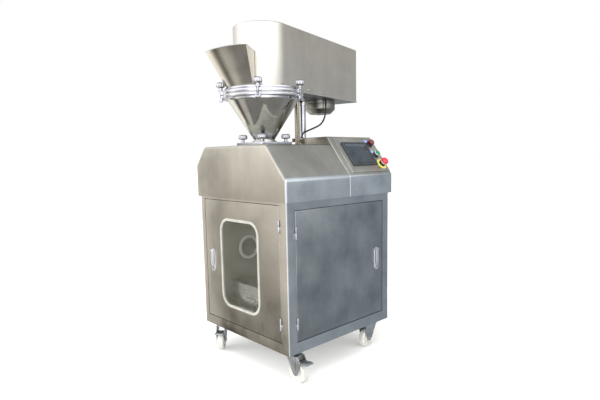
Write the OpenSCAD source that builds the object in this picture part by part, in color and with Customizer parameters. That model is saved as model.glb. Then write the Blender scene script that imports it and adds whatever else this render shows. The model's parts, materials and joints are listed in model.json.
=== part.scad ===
/* [Cabinet] */
// Width of the cabinet, side to side
cab_w = 684; // [676:1:692]
// Depth of the cabinet, front to back
cab_d = 720; // [712:1:728]
// Height of the cabinet's underside above the floor
cab_z0 = 144; // [142:1:150]
// Height of the cabinet's top deck
cab_z1 = 828; // [824:1:832]
// Thickness of the cabinet's plates
plate = 3; // [2:0.5:4]
// Thickness of door and cover sheets
sheet = 2; // [1.5:0.5:2.5]
// Gap round each door
door_gap = 2; // [1.5:0.5:3]
// Depth of a door pan
door_t = 20; // [16:1:22]

/* [Doors] */
// Left edge of the front door
fd_x0 = -302; // [-306:1:-298]
// Right edge of the front door
fd_x1 = 293; // [288:1:297]
// Lower edge of the front door
fd_z0 = 194; // [190:1:200]
// Upper edge of the front door
fd_z1 = 814; // [806:1:815]
// Front edge of the side door
sd_y0 = -308; // [-312:1:-304]
// Rear edge of the side door
sd_y1 = 306; // [300:1:310]
// Lower edge of the side door
sd_z0 = 198; // [194:1:204]
// Upper edge of the side door
sd_z1 = 790; // [784:1:800]
// Corner radius of the window
win_r = 60; // [40:1:70]

/* [Hood] */
// How far the hood stands out past the cabinet
hood_out = 12; // [8:1:14]
// Height of the right-hand band's top
band_r = 927; // [920:1:935]
// Height of the left-hand band's top
band_l = 986; // [980:1:992]
// Height of the hood's flat top
hood_top = 1080.5; // [1075:0.5:1085]
// Height of the raised bay's top
bay_top = 1120; // [1115:1:1125]
// Where the raised bay begins, front to back
bay_y0 = 40; // [36:1:44]

/* [Hopper] */
// Distance of the hopper's axis in front of the cabinet's centre
hop_y = -193; // [-195:1:-190]
// Outer radius of the hopper's flanges
ring_r = 200; // [198:1:202]
// Outer radius of the cone at its top
cone_r = 170; // [168:1:172]
// Inner radius of the feed barrel
barrel_r = 49; // [48:0.5:50]
// Height of the lower flange's underside
ring_z = 1304.5; // [1302:0.5:1306]
// Turn of the funnel's left end about the hopper
fun_a0 = -18; // [-19:1:-14]
// Turn of the funnel's right end about the hopper
fun_a1 = 37; // [32:1:38]

/* [Arm] */
// Half the width of the arm
arm_r = 137; // [134:1:138]
// Length of the arm behind the hopper's axis
arm_l = 718; // [700:1:730]
// Turn of the arm about the hopper's axis
arm_turn = 12.7; // [10:0.1:14]
// Height of the arm's underside
arm_z0 = 1338; // [1337:1:1340]
// Height of the arm's top
arm_z1 = 1640; // [1600:1:1660]
// Distance from the hopper's axis to the motor
motor_at = 525; // [515:1:535]

/* [Castors] */
// Radius of a castor wheel
wheel_r = 49; // [48:0.5:50]
// Width of a castor wheel
wheel_w = 34; // [30:1:34]
// Trail of a castor wheel behind its swivel
trail = 45; // [42:1:46]

/* [Hidden] */
$fn = 64;

steel = [0.72, 0.72, 0.70];
warm_steel = [0.70, 0.67, 0.61];
slate_steel = [0.45, 0.48, 0.50];
chrome = [0.85, 0.86, 0.87];
black = [0.08, 0.08, 0.08];

// Clearances: running fits, gaps between moving bodies, gaps between fixed ones
fit = 0.05;
free = 0.4;

hw = cab_w / 2;
hd = cab_d / 2;
hood_w = hw + hood_out;
hood_y0 = -hd - hood_out;
hood_y1 = hd + hood_out + 1;
deck_t = 8;
jamb = 24;

// Window opening
win_x0 = -158;
win_x1 = 139;
win_z0 = 282;
win_z1 = 719;
pane_t = 5;

// Weld-on hinges: barrel radius, pin radius, half height and how far the axis stands out
hinge_r = 4.5;
pin_r = 2.5;
hinge_h = 28;
hinge_out = hinge_r + 0.3;
front_hinges = [254, 694];
side_hinges = [254, 664];

// The slope that carries the control plate: its top edge, its turn and its length
bay_x1 = 206;
bay_x0 = -20;
slope_a = atan((bay_top - band_r) / (hood_w - bay_x1));
ctrl_y0 = 72;
ctrl_y1 = 368;
ctrl_s0 = 4;
ctrl_s1 = 226;
ctrl_t = 4;
btn_y = 330;
stop_s = 50;
start_s = 120;
estop_s = 182;

// Roll head
roll_r = 79.5;
roll_x = 80;
roll_z = 916;
roll_w = 60;
roll_shaft = 20;
head_w = 165;
head_t = 20;
head_top = 1016;
gear_teeth = 32;
gear_m = 5;
gear_w = 20;
gear_y = hop_y + 58;
barrel_t = 9;
barrel_z0 = 1000;

// Granulator
gran_z = 765;
gran_r = 42;
duct_z0 = 697;
duct_w = 110;
duct_d = 39;
spout_r = 50;
spout_z0 = 620;

// Liner of the collecting compartment
lin_w = 245;
lin_y0 = -hd + jamb;
lin_y1 = -60;
lin_z0 = 200;
lin_z1 = 812;

// Hopper stack
neck_z = hood_top + 16;
cone_z0 = 1111;
cone_z1 = 1295;
flange_t = 10;
gasket_t = 4;
lid_z = ring_z + flange_t + gasket_t;
lid_t = 17.5;
lip_r = 188;
fun_z0 = 1349;
fun_z1 = 1508;
fun_r0 = 182;
fun_r1 = 276;
fun_in = arm_r + 4;
screw_shaft = 15;
bush_r = 40;

// Swing clamps
clamp_r = ring_r + 6;
clamp_pivot_z = ring_z - 10;
bolt_r = 4;
clamps = [45, -26, 108, -95];

// Drive in the arm
pulley_z = 1370;
pulley_h = 30;
screw_pulley_r = 90;
motor_pulley_r = 45;
motor_shaft = 12;
motor_r = 86;
motor_z0 = 1266;
motor_cap = 28;
column_at = 341;
column_r = 18;

// Motor cable: where it runs, from the arm's gland to the bay's gland
cable_d = 9;
cable_route = [
    [-15, 262, 1326], [-15, 262, 1308], [-15, 262, 1290], [-15, 261, 1272],
    [-15, 257, 1254], [-14, 250, 1237], [-13, 240, 1221], [-12, 226, 1207],
    [-11, 209, 1195], [-9, 190, 1187], [-8, 170, 1180], [-6, 151, 1174],
    [-5, 132, 1168], [-4, 114, 1162], [-2, 97, 1157], [-1, 82, 1152],
    [0, 71, 1145], [0, 64, 1136], [0, 62, 1126]
];

// Castors: swivel position and the way each one trails
castor_x = 282;
castor_y = 292;
castors = [[1, -1, 0], [-1, -1, -45], [1, 1, -90], [-1, 1, 200]];

// ---- helpers ----
module block(lo, hi) {
    translate(lo) cube(hi - lo);
}

module along_y(y0, y1) {
    translate([0, y1, 0]) rotate([90, 0, 0]) linear_extrude(y1 - y0) children();
}

module rod_y(r, x, z, y0, y1) {
    translate([x, y0, z]) rotate([-90, 0, 0]) cylinder(r = r, h = y1 - y0);
}

module rod_z(r, x, y, z0, z1) {
    translate([x, y, z0]) cylinder(r = r, h = z1 - z0);
}

module rounded(x0, y0, x1, y1, r) {
    translate([x0 + r, y0]) square([x1 - x0 - 2 * r, y1 - y0]);
    translate([x0, y0 + r]) square([x1 - x0, y1 - y0 - 2 * r]);
    for (x = [x0 + r, x1 - r], y = [y0 + r, y1 - r]) translate([x, y]) circle(r);
}

// Where two lines cross, each given by a point and a direction
function cross_at(p, d, q, e) =
    let (k = ((q[0] - p[0]) * e[1] - (q[1] - p[1]) * e[0]) / (d[0] * e[1] - d[1] * e[0])) p + k * d;
function inward(d, t) = t * [-d[1], d[0]] / norm(d);

// Outline moved inward by t; the outline runs counter-clockwise
function inset(pts, t) =
    let (n = len(pts)) [
        for (i = [0:n - 1])
            let (a = pts[(i + n - 1) % n], b = pts[i], c = pts[(i + 1) % n])
                cross_at(a + inward(b - a, t), b - a, b + inward(c - b, t), c - b)
    ];

front_section = [
    [-hood_w, cab_z1], [hood_w, cab_z1], [hood_w, band_r], [226.5, hood_top],
    [-274, hood_top], [-hood_w, band_l]
];
rear_section = [
    [-hood_w, cab_z1], [hood_w, cab_z1], [hood_w, band_r], [bay_x1, bay_top],
    [bay_x0, bay_top], [bay_x0, hood_top], [-274, hood_top], [-hood_w, band_l]
];

module at_hopper() {
    translate([0, hop_y, 0]) children();
}

module on_arm() {
    at_hopper() rotate([0, 0, arm_turn]) children();
}

module on_slope() {
    translate([bay_x1, 0, bay_top]) rotate([0, slope_a, 0]) children();
}

module on_front(x, z) {
    translate([x, -hd, z]) children();
}

module on_side(y, z) {
    translate([hw, y, z]) rotate([0, 0, 90]) children();
}

module at_castor(i) {
    c = castors[i];
    translate([c[0] * castor_x, c[1] * castor_y, 0]) rotate([0, 0, c[2]]) children();
}

// ---- cabinet ----
module framed_side(x0, z0, x1, z1) {
    difference() {
        block([x0 - plate, -hd, z0 - plate], [x1 + plate, -hd + jamb, z1 + plate]);
        block([x0, -hd - 1, z0], [x1, -hd + jamb + 1, z1]);
    }
}

// Fixed half of a weld-on hinge, with its pin
module hinge_half(side) {
    translate([0, -hinge_out, 0]) {
        cylinder(r = hinge_r, h = hinge_h);
        cylinder(r = pin_r, h = 2 * hinge_h - 3);
    }
    translate([min(0, side * 9), -3, 0]) cube([9, 3.5, hinge_h]);
}

module cabinet_frame() color(warm_steel) {
    g = door_gap;
    difference() {
        block([-hw, -hd, cab_z0], [hw, hd, cab_z1]);
        block([-hw + plate, -hd + plate, cab_z0 + 4], [hw - plate, hd - plate, cab_z1 - deck_t]);
        block([fd_x0 - g, -hd - 1, fd_z0 - g], [fd_x1 + g, -hd + plate + 1, fd_z1 + g]);
        block([hw - plate - 1, sd_y0 - g, sd_z0 - g], [hw + 1, sd_y1 + g, sd_z1 + g]);
        block([-hw - 1, -320, cab_z0 + 40], [-hw + plate + 1, 320, cab_z1 - 40]);
        block([-302, hd - plate - 1, cab_z0 + 40], [302, hd + 1, cab_z1 - 40]);
        block([-105, hop_y - 31, cab_z1 - deck_t - 1], [105, hop_y + 31, cab_z1 + 1]);
        block([-280, 60, cab_z1 - deck_t - 1], [-130, 300, cab_z1 + 1]);
    }
    framed_side(fd_x0 - g, fd_z0 - g, fd_x1 + g, fd_z1 + g);
    translate([hw - hd, 0, 0]) rotate([0, 0, 90]) framed_side(sd_y0 - g, sd_z0 - g, sd_y1 + g, sd_z1 + g);
    for (z = front_hinges) on_front(fd_x1 + g / 2, z) hinge_half(1);
    for (z = side_hinges) on_side(sd_y0 - g / 2, z) hinge_half(-1);
    rod_y(4, -280, cab_z0 + 13, hd - 1, hd + 24);
}

module cover_panels() color(steel) {
    block([-hw - sheet, -335, cab_z0 + 26], [-hw, 335, cab_z1 - 26]);
    difference() {
        block([-317, hd, cab_z0 + 26], [317, hd + sheet, cab_z1 - 26]);
        for (i = [0:7], x = [-180, 60]) block([x, hd - 1, 620 + 16 * i], [x + 120, hd + sheet + 1, 627 + 16 * i]);
        rod_y(10, 230, 230, hd - 1, hd + sheet + 1);
    }
}

module compartment_liner() color(slate_steel) {
    difference() {
        union() {
            block([-lin_w, lin_y0, lin_z0], [lin_w, lin_y1, lin_z1]);
            block([-316, lin_y0, cab_z0 + 12], [316, lin_y0 + sheet, cab_z1 - deck_t - 1]);
        }
        block([-lin_w + sheet, lin_y0 - 1, lin_z0 + sheet], [lin_w - sheet, lin_y1 - sheet, lin_z1 - sheet]);
        block([-duct_w - 2, hop_y - duct_d - 2, lin_z1 - 9], [duct_w + 2, hop_y + duct_d + 2, lin_z1 + 1]);
        rod_y(12, 0, gran_z, lin_y1 - 9, lin_y1 + 9);
    }
}

// ---- hood ----
module front_hood() color(warm_steel) {
    difference() {
        along_y(hood_y0, bay_y0) polygon(front_section);
        along_y(hood_y0 + plate, bay_y0 + 1) polygon(inset(front_section, plate));
        block([-hw + 14, -hd + 14, cab_z1 - 1], [hw - 14, bay_y0 + 1, cab_z1 + plate + 1]);
        rod_z(barrel_r + barrel_t + 2, 0, hop_y, hood_top - 9, hood_top + 9);
    }
}

module rear_hood() color(steel) {
    difference() {
        along_y(bay_y0, hood_y1) polygon(rear_section);
        along_y(bay_y0 + plate, hood_y1 - plate) polygon(inset(rear_section, plate));
        along_y(bay_y0 - 1, bay_y0 + 9) polygon(inset(front_section, plate));
        block([-hw + 14, bay_y0 - 1, cab_z1 - 1], [hw - 14, hd - 14, cab_z1 + plate + 1]);
        on_arm() rod_z(column_r + 1, 0, column_at, hood_top - 9, hood_top + 9);
        on_slope() block([48, 116, -9], [178, 284, 9]);
        for (s = [stop_s, start_s, estop_s]) on_slope() rod_z(12, s, btn_y, -9, 9);
        rod_z(6, 0, 62, bay_top - 9, bay_top + 9);
    }
}

module control_plate() color(steel) on_slope() {
    difference() {
        block([ctrl_s0, ctrl_y0, 0], [ctrl_s1, ctrl_y1, ctrl_t]);
        block([48, 116, -1], [178, 284, ctrl_t + 1]);
        for (s = [stop_s, start_s, estop_s]) rod_z(12, s, btn_y, -1, ctrl_t + 1);
    }
    for (s = [12.5, 221], y = [78, 363]) rod_z(3.5, s, y, ctrl_t - 1, ctrl_t + 2.5);
}

module touch_panel() color([0.2, 0.24, 0.27]) on_slope() {
    difference() {
        union() {
            block([41, 106, ctrl_t], [185, 294, ctrl_t + 6]);
            block([48.5, 116.5, -34], [177.5, 283.5, ctrl_t + 1]);
        }
        block([54, 120, ctrl_t + 4], [174, 280, ctrl_t + 7]);
    }
    block([54.3, 120.3, ctrl_t + 4.1], [173.7, 279.7, ctrl_t + 5]);
}

// A push-button's collar: a ring on the plate and a threaded neck through it
module collar(r, h, bore) {
    difference() {
        union() {
            rod_z(r, 0, 0, ctrl_t, ctrl_t + h);
            rod_z(11.5, 0, 0, -30, ctrl_t + 1);
        }
        rod_z(bore + fit, 0, 0, -26, ctrl_t + h + 1);
    }
}

module button_collars() color(black) on_slope() {
    translate([stop_s, btn_y, 0]) collar(15, 7, 9);
    translate([start_s, btn_y, 0]) collar(15, 7, 9);
    translate([estop_s, btn_y, 0]) collar(18, 12, 9);
    translate([estop_s, btn_y, 0]) difference() {
        rod_z(30, 0, 0, ctrl_t, ctrl_t + 2);
        rod_z(18.2, 0, 0, ctrl_t - 1, ctrl_t + 3);
    }
}

// A button with a stem in its collar and a domed cap above it
module dome_button(r, z0, h) {
    rod_z(9, 0, 0, -18, z0 + 1);
    translate([0, 0, z0]) rotate_extrude()
        polygon([[0, 0], [r, 0], for (t = [0:15:90]) [(r - 5) + 5 * cos(t), h - 5 + 5 * sin(t)], [0, h]]);
}

module estop_button() color([0.85, 0.12, 0.2]) on_slope() translate([estop_s, btn_y, 0])
    dome_button(20, ctrl_t + 18, 22);

module start_button() color([0.05, 0.5, 0.33]) on_slope() translate([start_s, btn_y, 0])
    dome_button(13, ctrl_t + 11, 9);

module stop_button() color([0.5, 0.08, 0.12]) on_slope() translate([stop_s, btn_y, 0])
    dome_button(13, ctrl_t + 11, 16);

// ---- doors, each drawn as a front door whose hinge edge is at x1 ----
module hinge_barrel(side) {
    translate([0, -hinge_out, hinge_h + free]) difference() {
        union() {
            cylinder(r = hinge_r, h = hinge_h - free);
            translate([min(0, side * 9), 1, 0]) cube([9, hinge_out - 0.5, hinge_h - free]);
        }
        translate([0, 0, -1]) cylinder(r = pin_r + fit, h = hinge_h - 1);
    }
}

module door_pan(x0, z0, x1, z1) {
    difference() {
        block([x0, 0, z0], [x1, door_t, z1]);
        block([x0 + sheet, sheet, z0 + sheet], [x1 - sheet, door_t + 1, z1 - sheet]);
    }
}

module front_door() color(warm_steel) {
    difference() {
        on_front(0, 0) door_pan(fd_x0, fd_z0, fd_x1, fd_z1);
        along_y(-hd - 1, -hd + sheet + 1) rounded(win_x0, win_z0, win_x1, win_z1, win_r);
        on_front(-238, 497.5) block([-12, -1, -50], [12, sheet + 1, 50]);
    }
    for (z = front_hinges) on_front(fd_x1 + door_gap / 2, z) hinge_barrel(-1);
}

module side_door() color(slate_steel) {
    difference() {
        on_side(0, 0) door_pan(sd_y0, sd_z0, sd_y1, sd_z1);
        on_side(254, 491.5) block([-12, -1, -50], [12, sheet + 1, 50]);
    }
    for (z = side_hinges) on_side(sd_y0 - door_gap / 2, z) hinge_barrel(1);
}

module window_outline(grow) {
    rounded(win_x0 - grow, win_z0 - grow, win_x1 + grow, win_z1 + grow, win_r + grow);
}

module window_pane() color([0.6, 0.65, 0.62, 0.4])
    along_y(-hd - 1, -hd - 1 + pane_t) window_outline(-5);

module window_gasket() color([0.85, 0.84, 0.78]) {
    for (y = [[-4, 0, 6.5, -5], [0, sheet, 0, -5], [sheet, 6, 6.5, -5]])
        along_y(-hd + y[0], -hd + y[1]) difference() {
            window_outline(y[2]);
            window_outline(y[3]);
        }
}

// Door lock: face plate, box behind the skin and ears for the lever's pivot
module lock_body() color(chrome) {
    difference() {
        union() {
            block([-16.5, -4, -58.5], [16.5, 0, 58.5]);
            block([-11.5, -1, -49], [11.5, door_t - 3, 49]);
            for (x = [-15, 12]) block([x, -12, 43], [x + 3, -3, 53]);
        }
        translate([-20, -8.5, 48]) rotate([0, 90, 0]) cylinder(r = 2 + fit, h = 40);
    }
    translate([0, -4, -38]) rotate([90, 0, 0]) cylinder(r = 8, h = 3);
}

// Lever that lies on the lock's face and swings out about its upper end
module lock_lever() color(chrome) {
    translate([-11.5, -8.5, 48]) rotate([0, 90, 0]) cylinder(r = 4, h = 23);
    translate([-15, -8.5, 48]) rotate([0, 90, 0]) cylinder(r = 2, h = 30);
    block([-10, -11, -24], [10, -6.5, 48]);
}

module front_lock() on_front(-238, 497.5) lock_body();
module front_lever() on_front(-238, 497.5) lock_lever();
module side_lock() on_side(254, 491.5) lock_body();
module side_lever() on_side(254, 491.5) lock_lever();

// ---- castors, each trailing along +X of its own frame ----
module castor_plates() color(steel) {
    for (i = [0:3]) at_castor(i) {
        block([-45, -45, cab_z0 - 6], [45, 45, cab_z0]);
        rod_z(30, 0, 0, cab_z0 - 13, cab_z0 - 5);
        rod_z(8, 0, 0, cab_z0 - 32, cab_z0 - 12);
        translate([0, 0, cab_z0 - 31]) cylinder(r = 13, h = 8 - free, $fn = 6);
    }
}

module fork() color([0.55, 0.57, 0.57]) {
    top = cab_z0 - 13 - free;
    leg = wheel_w / 2 + 3;
    difference() {
        union() {
            rod_z(31, 0, 0, top - 8, top);
            block([0, -leg - 4, top - 8], [40, leg + 4, top]);
            for (y = [-leg - 4, leg])
                along_y(y, y + 4) polygon([[-20, top], [62, top], [80, 100], [trail + 14, wheel_r - 8],
                    [trail, wheel_r - 14], [trail - 14, wheel_r - 8], [-8, top - 14]]);
            rod_y(10, trail, wheel_r, -leg - 7, -leg + 0.5);
            rod_y(10, trail, wheel_r, leg - 0.5, leg + 7);
            rod_y(6, trail, wheel_r, -leg - 7, leg + 7);
        }
        rod_z(8 + fit, 0, 0, 90, top + 1);
        rod_z(14, 0, 0, 90, top - 8);
        rod_y(3 + fit, 70, 104, -leg - 9, leg + 9);
    }
}

module wheel() color([0.95, 0.94, 0.9]) {
    h = wheel_w / 2;
    e = 6;
    translate([trail, 0, wheel_r]) rotate([90, 0, 0]) rotate_extrude()
        polygon([[6 + fit, -h], [18, -h], [22, -h + 5], [34, -h + 5], [38, -h + 1],
            for (t = [-90:18:0]) [wheel_r - e + e * cos(t), -h + 1 + e + e * sin(t)],
            for (t = [0:18:90]) [wheel_r - e + e * cos(t), h - 1 - e + e * sin(t)],
            [38, h - 1], [34, h - 5], [22, h - 5], [18, h], [6 + fit, h]]);
}

module pedal() color([0.15, 0.15, 0.15]) {
    w = wheel_w / 2 + 3 - free;
    block([60, -w, 104], [100, w, 108]);
    block([96, -w, 104], [122, w, 112]);
    rod_y(5, 70, 104, -w, w);
    rod_y(3, 70, 104, -w - 6, w + 6);
}

module fork_front_right() at_castor(0) fork();
module fork_front_left() at_castor(1) fork();
module fork_rear_right() at_castor(2) fork();
module fork_rear_left() at_castor(3) fork();
module wheel_front_right() at_castor(0) wheel();
module wheel_front_left() at_castor(1) wheel();
module wheel_rear_right() at_castor(2) wheel();
module wheel_rear_left() at_castor(3) wheel();
module pedal_front_right() at_castor(0) pedal();
module pedal_front_left() at_castor(1) pedal();

// ---- roll head ----
head_y0 = hop_y - roll_w / 2 - 2 - head_t;
head_y1 = hop_y + roll_w / 2 + 2 + head_t;

module roll_housing() color(steel) {
    difference() {
        union() {
            block([-head_w, head_y0, cab_z1], [head_w, head_y0 + head_t, head_top]);
            block([-head_w, head_y1 - head_t, cab_z1], [head_w, head_y1, head_top]);
            block([-head_w, head_y0, head_top], [head_w, head_y1, head_top + 12]);
        }
        for (x = [-roll_x, roll_x]) rod_y(30, x, roll_z, head_y0 - 1, head_y1 + 1);
        rod_z(barrel_r + barrel_t + 0.3, 0, hop_y, barrel_z0 - 2, head_top + 13);
    }
}

module bush(outer, bore, x, z, y0, y1) {
    difference() {
        rod_y(outer, x, z, y0, y1);
        rod_y(bore + fit, x, z, y0 - 1, y1 + 1);
    }
}

// Roll bearings, granulator bushes and the feed screw's bearing
module bearings() color(chrome) {
    for (x = [-roll_x, roll_x]) {
        bush(30, roll_shaft, x, roll_z, head_y0, head_y0 + head_t);
        bush(30, roll_shaft, x, roll_z, head_y1 - head_t, head_y1);
    }
    bush(22, 10, 0, gran_z, hop_y - duct_d - 12, hop_y - duct_d);
    bush(22, 10, 0, gran_z, hop_y + duct_d, hop_y + duct_d + 12);
    at_hopper() difference() {
        union() {
            rod_z(bush_r, 0, 0, lid_z, arm_z0 + 24);
            rod_z(60, 0, 0, lid_z + lid_t, arm_z0);
        }
        rod_z(screw_shaft + fit, 0, 0, lid_z - 1, arm_z0 + 25);
    }
}

function inv(a) = tan(a) * 180 / PI - a;

// Half the angle that a tooth fills at radius r, less the running clearance
function tooth_half(r, rp, n, rb, slack) = 90 / n + inv(20) - inv(acos(min(1, rb / r))) - slack;

module gear(n, m, w) {
    rp = n * m / 2;
    rb = rp * cos(20);
    slack = 0.16;
    flank = [rb, rp - 0.4 * m, rp, rp + 0.45 * m, rp + 0.9 * m];
    linear_extrude(w) polygon([
        for (i = [0:n - 1]) each [
            for (s = [-1, 1]) each [
                for (k = [0:4])
                    let (r = flank[s < 0 ? k : 4 - k], a = 360 * i / n + s * tooth_half(r, rp, n, rb, slack))
                        r * [cos(a), sin(a)]
            ],
            let (a = 360 * (i + 0.5) / n) (rp - 1.25 * m) * [cos(a), sin(a)]
        ]
    ]);
}

module press_roll(x, y1, phase) color(chrome) {
    rod_y(roll_shaft, x, roll_z, head_y0 - 6, y1);
    rod_y(roll_r, x, roll_z, hop_y - roll_w / 2, hop_y + roll_w / 2);
    translate([x, gear_y + gear_w, roll_z]) rotate([90, phase, 0]) gear(gear_teeth, gear_m, gear_w);
}

module press_roll_left() press_roll(-roll_x, gear_y + gear_w + 14, 0);
module press_roll_right() press_roll(roll_x, hop_y + 133, 180 / gear_teeth);

// Gearmotor of the rolls and the granulator's smaller one
module gearmotors() color([0.35, 0.4, 0.42]) {
    y = hop_y + 95;
    difference() {
        union() {
            block([roll_x - 75, y, cab_z1 + 13], [roll_x + 75, y + 90, roll_z + 75]);
            block([roll_x - 60, y, cab_z1], [roll_x + 60, y + 90, cab_z1 + 14]);
            rod_y(62, roll_x, roll_z, y + 89, y + 265);
        }
        rod_y(roll_shaft + fit, roll_x, roll_z, y - 1, y + 40);
    }
    difference() {
        union() {
            block([-50, lin_y1, gran_z - 50], [50, lin_y1 + 6, gran_z + 50]);
            rod_y(45, 0, gran_z, lin_y1 + 5, lin_y1 + 150);
        }
        rod_y(10 + fit, 0, gran_z, lin_y1 - 1, lin_y1 + 24);
    }
}

module granulator_rotor() color(steel) {
    rod_y(10, 0, gran_z, hop_y - duct_d - 20, lin_y1 + 22);
    for (y = [hop_y - 33, hop_y + 28]) rod_y(34, 0, gran_z, y, y + 5);
    for (t = [0:60:300])
        translate([0, 0, gran_z]) rotate([0, t, 0]) block([gran_r - 12, hop_y - 33, -5], [gran_r, hop_y + 33, 5]);
}

module granulator_screen() color(steel) {
    difference() {
        translate([0, hop_y - duct_d + plate, gran_z]) rotate([-90, 0, 0])
            rotate_extrude(angle = 170) translate([gran_r + 4, 0]) square([2, 2 * (duct_d - plate)]);
        for (t = [20:20:140], y = [-24, 0, 24])
            translate([0, hop_y + y, gran_z]) rotate([0, t + 5, 0]) block([gran_r, -7, -3], [gran_r + 9, 7, 3]);
    }
}

module discharge_spout() color(steel) {
    difference() {
        union() {
            block([-duct_w, hop_y - duct_d, duct_z0], [duct_w, hop_y + duct_d, cab_z1 - deck_t]);
            rod_z(spout_r, 0, hop_y, spout_z0, duct_z0 + 1);
        }
        block([-duct_w + plate, hop_y - duct_d + plate, duct_z0 + plate],
            [duct_w - plate, hop_y + duct_d - plate, cab_z1]);
        rod_z(spout_r - plate, 0, hop_y, spout_z0 - 1, duct_z0 + plate + 1);
        rod_y(12, 0, gran_z, hop_y - duct_d - 1, hop_y + duct_d + 1);
    }
}

module collecting_bin() color(steel) {
    z0 = lin_z0 + sheet;
    difference() {
        block([-160, -310, z0], [160, -95, z0 + 190]);
        block([-160 + sheet, -310 + sheet, z0 + sheet], [160 - sheet, -95 - sheet, z0 + 191]);
    }
    for (x = [-50, 44]) block([x, -322, z0 + 120], [x + 6, -309, z0 + 126]);
    block([-50, -326, z0 + 120], [50, -320, z0 + 126]);
}

// Mounting plate with two drives, a row of contactors and a terminal rail
module control_gear() color([0.6, 0.6, 0.58]) {
    y = hd - 30;
    block([-280, y, 230], [280, y + 3, 770]);
    for (x = [-250, -110]) block([x, y - 130, 520], [x + 110, y + 1, 740]);
    for (i = [0:4]) block([50 + 44 * i, y - 80, 560], [88 + 44 * i, y + 1, 650]);
    block([-250, y - 40, 300], [250, y + 1, 345]);
    block([-250, y - 60, 400], [-60, y + 1, 470]);
}

// ---- hopper ----
module hopper_base() color(chrome) {
    at_hopper() difference() {
        union() {
            block([-100, -100, hood_top], [100, 100, neck_z]);
            rod_z(barrel_r + barrel_t, 0, 0, barrel_z0, hood_top + 1);
        }
        rod_z(barrel_r, 0, 0, barrel_z0 - 1, neck_z + 1);
    }
}

module hand_knob(cap_r, cap_h, hub_r, hub_h) {
    rod_z(hub_r, 0, 0, 0, hub_h + 0.5);
    translate([0, 0, hub_h]) rotate_extrude()
        polygon([[0, 0], [cap_r - 3, 0], [cap_r, 3], [cap_r, cap_h - 4], [cap_r - 4, cap_h], [0, cap_h]]);
}

module hopper_knobs() color(chrome) {
    for (x = [-75, 75], y = [-75, 75]) translate([x, hop_y + y, neck_z]) hand_knob(22, 22, 10, 16);
}

// Ear that a swing bolt pulls on, and the open slot in it
module ear(a, z0, z1) {
    rotate([0, 0, a]) block([-15, -clamp_r - 2, z0], [15, -ring_r + 12, z1]);
}

module ear_slot(a, z0, z1) {
    rotate([0, 0, a]) block([-5.5, -clamp_r - 3, z0 - 1], [5.5, -clamp_r + 6, z1 + 1]);
}

module hopper_cone() color(chrome) {
    w = plate * 1.2;
    at_hopper() {
        difference() {
            union() {
                rotate_extrude($fn = 96) polygon([[barrel_r, neck_z], [barrel_r + 11, neck_z],
                    [barrel_r + 11, neck_z + 8], [barrel_r + w, neck_z + 8], [barrel_r + w, cone_z0],
                    [cone_r, cone_z1], [cone_r, ring_z], [ring_r, ring_z], [ring_r, ring_z + flange_t],
                    [cone_r - w, ring_z + flange_t], [cone_r - w, cone_z1], [barrel_r, cone_z0]]);
                for (a = clamps) ear(a, ring_z, ring_z + flange_t);
            }
            for (a = clamps) ear_slot(a, ring_z, ring_z + flange_t);
        }
        for (a = clamps) rotate([0, 0, a]) {
            for (x = [-11, 6]) block([x, -clamp_r - 7, clamp_pivot_z - 7], [x + 5, -ring_r + 4, ring_z + 1]);
            translate([-11, -clamp_r, clamp_pivot_z]) rotate([0, 90, 0]) cylinder(r = 3, h = 22);
        }
    }
}

module lid_gasket() color([0.9, 0.9, 0.88]) at_hopper() difference() {
    rod_z(ring_r - 4, 0, 0, ring_z + flange_t, lid_z);
    rod_z(cone_r + 2, 0, 0, ring_z, lid_z + 1);
}

module hopper_lid() color(chrome) at_hopper() {
    difference() {
        union() {
            rod_z(ring_r, 0, 0, lid_z, lid_z + lid_t);
            difference() {
                rod_z(lip_r, 0, 0, lid_z + lid_t - 0.5, fun_z0);
                rotate([0, 0, arm_turn]) translate([0, 0, lid_z + lid_t]) linear_extrude(fun_z0) arm_outline(fun_in, arm_l);
            }
            for (a = clamps) ear(a, lid_z, lid_z + lid_t);
        }
        for (a = clamps) ear_slot(a, lid_z, lid_z + lid_t);
        rod_z(bush_r + 0.2, 0, 0, lid_z - 1, lid_z + lid_t + 1);
        translate([0, 0, lid_z - 1]) rotate([0, 0, fun_a0 + 2 - 90])
            rotate_extrude(angle = fun_a1 - fun_a0 - 4) translate([fun_in + 3, 0]) square([cone_r - 5 - fun_in - 3, fun_z0 - lid_z + 2]);
    }
}

module funnel_body(t, cut) {
    rotate([0, 0, fun_a0 + cut - 90]) rotate_extrude(angle = fun_a1 - fun_a0 - 2 * cut)
        polygon([[fun_in + t, fun_z0 - t], [fun_r0 - t, fun_z0 - t], [fun_r1 - t, fun_z1 + t], [fun_in + t, fun_z1 + t]]);
}

module feed_funnel() color(steel) at_hopper() difference() {
    funnel_body(0, 0);
    funnel_body(2.5, 0.9);
}

module flight(r0, r1, z0, pitch, turns, t, steps) {
    n = round(turns * steps);
    pts = [
        for (i = [0:n]) let (a = 360 * i / steps, z = z0 + pitch * i / steps)
            each [[r0 * cos(a), r0 * sin(a), z], [r1 * cos(a), r1 * sin(a), z],
                [r1 * cos(a), r1 * sin(a), z + t], [r0 * cos(a), r0 * sin(a), z + t]]
    ];
    sides = [
        for (i = [0:n - 1], k = [0:3]) let (a = 4 * i + k, b = 4 * i + (k + 1) % 4)
            each [[a, b, b + 4], [a, b + 4, a + 4]]
    ];
    polyhedron(pts, concat([[3, 2, 1], [3, 1, 0]], sides, [[4 * n, 4 * n + 1, 4 * n + 2], [4 * n, 4 * n + 2, 4 * n + 3]]));
}

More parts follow.
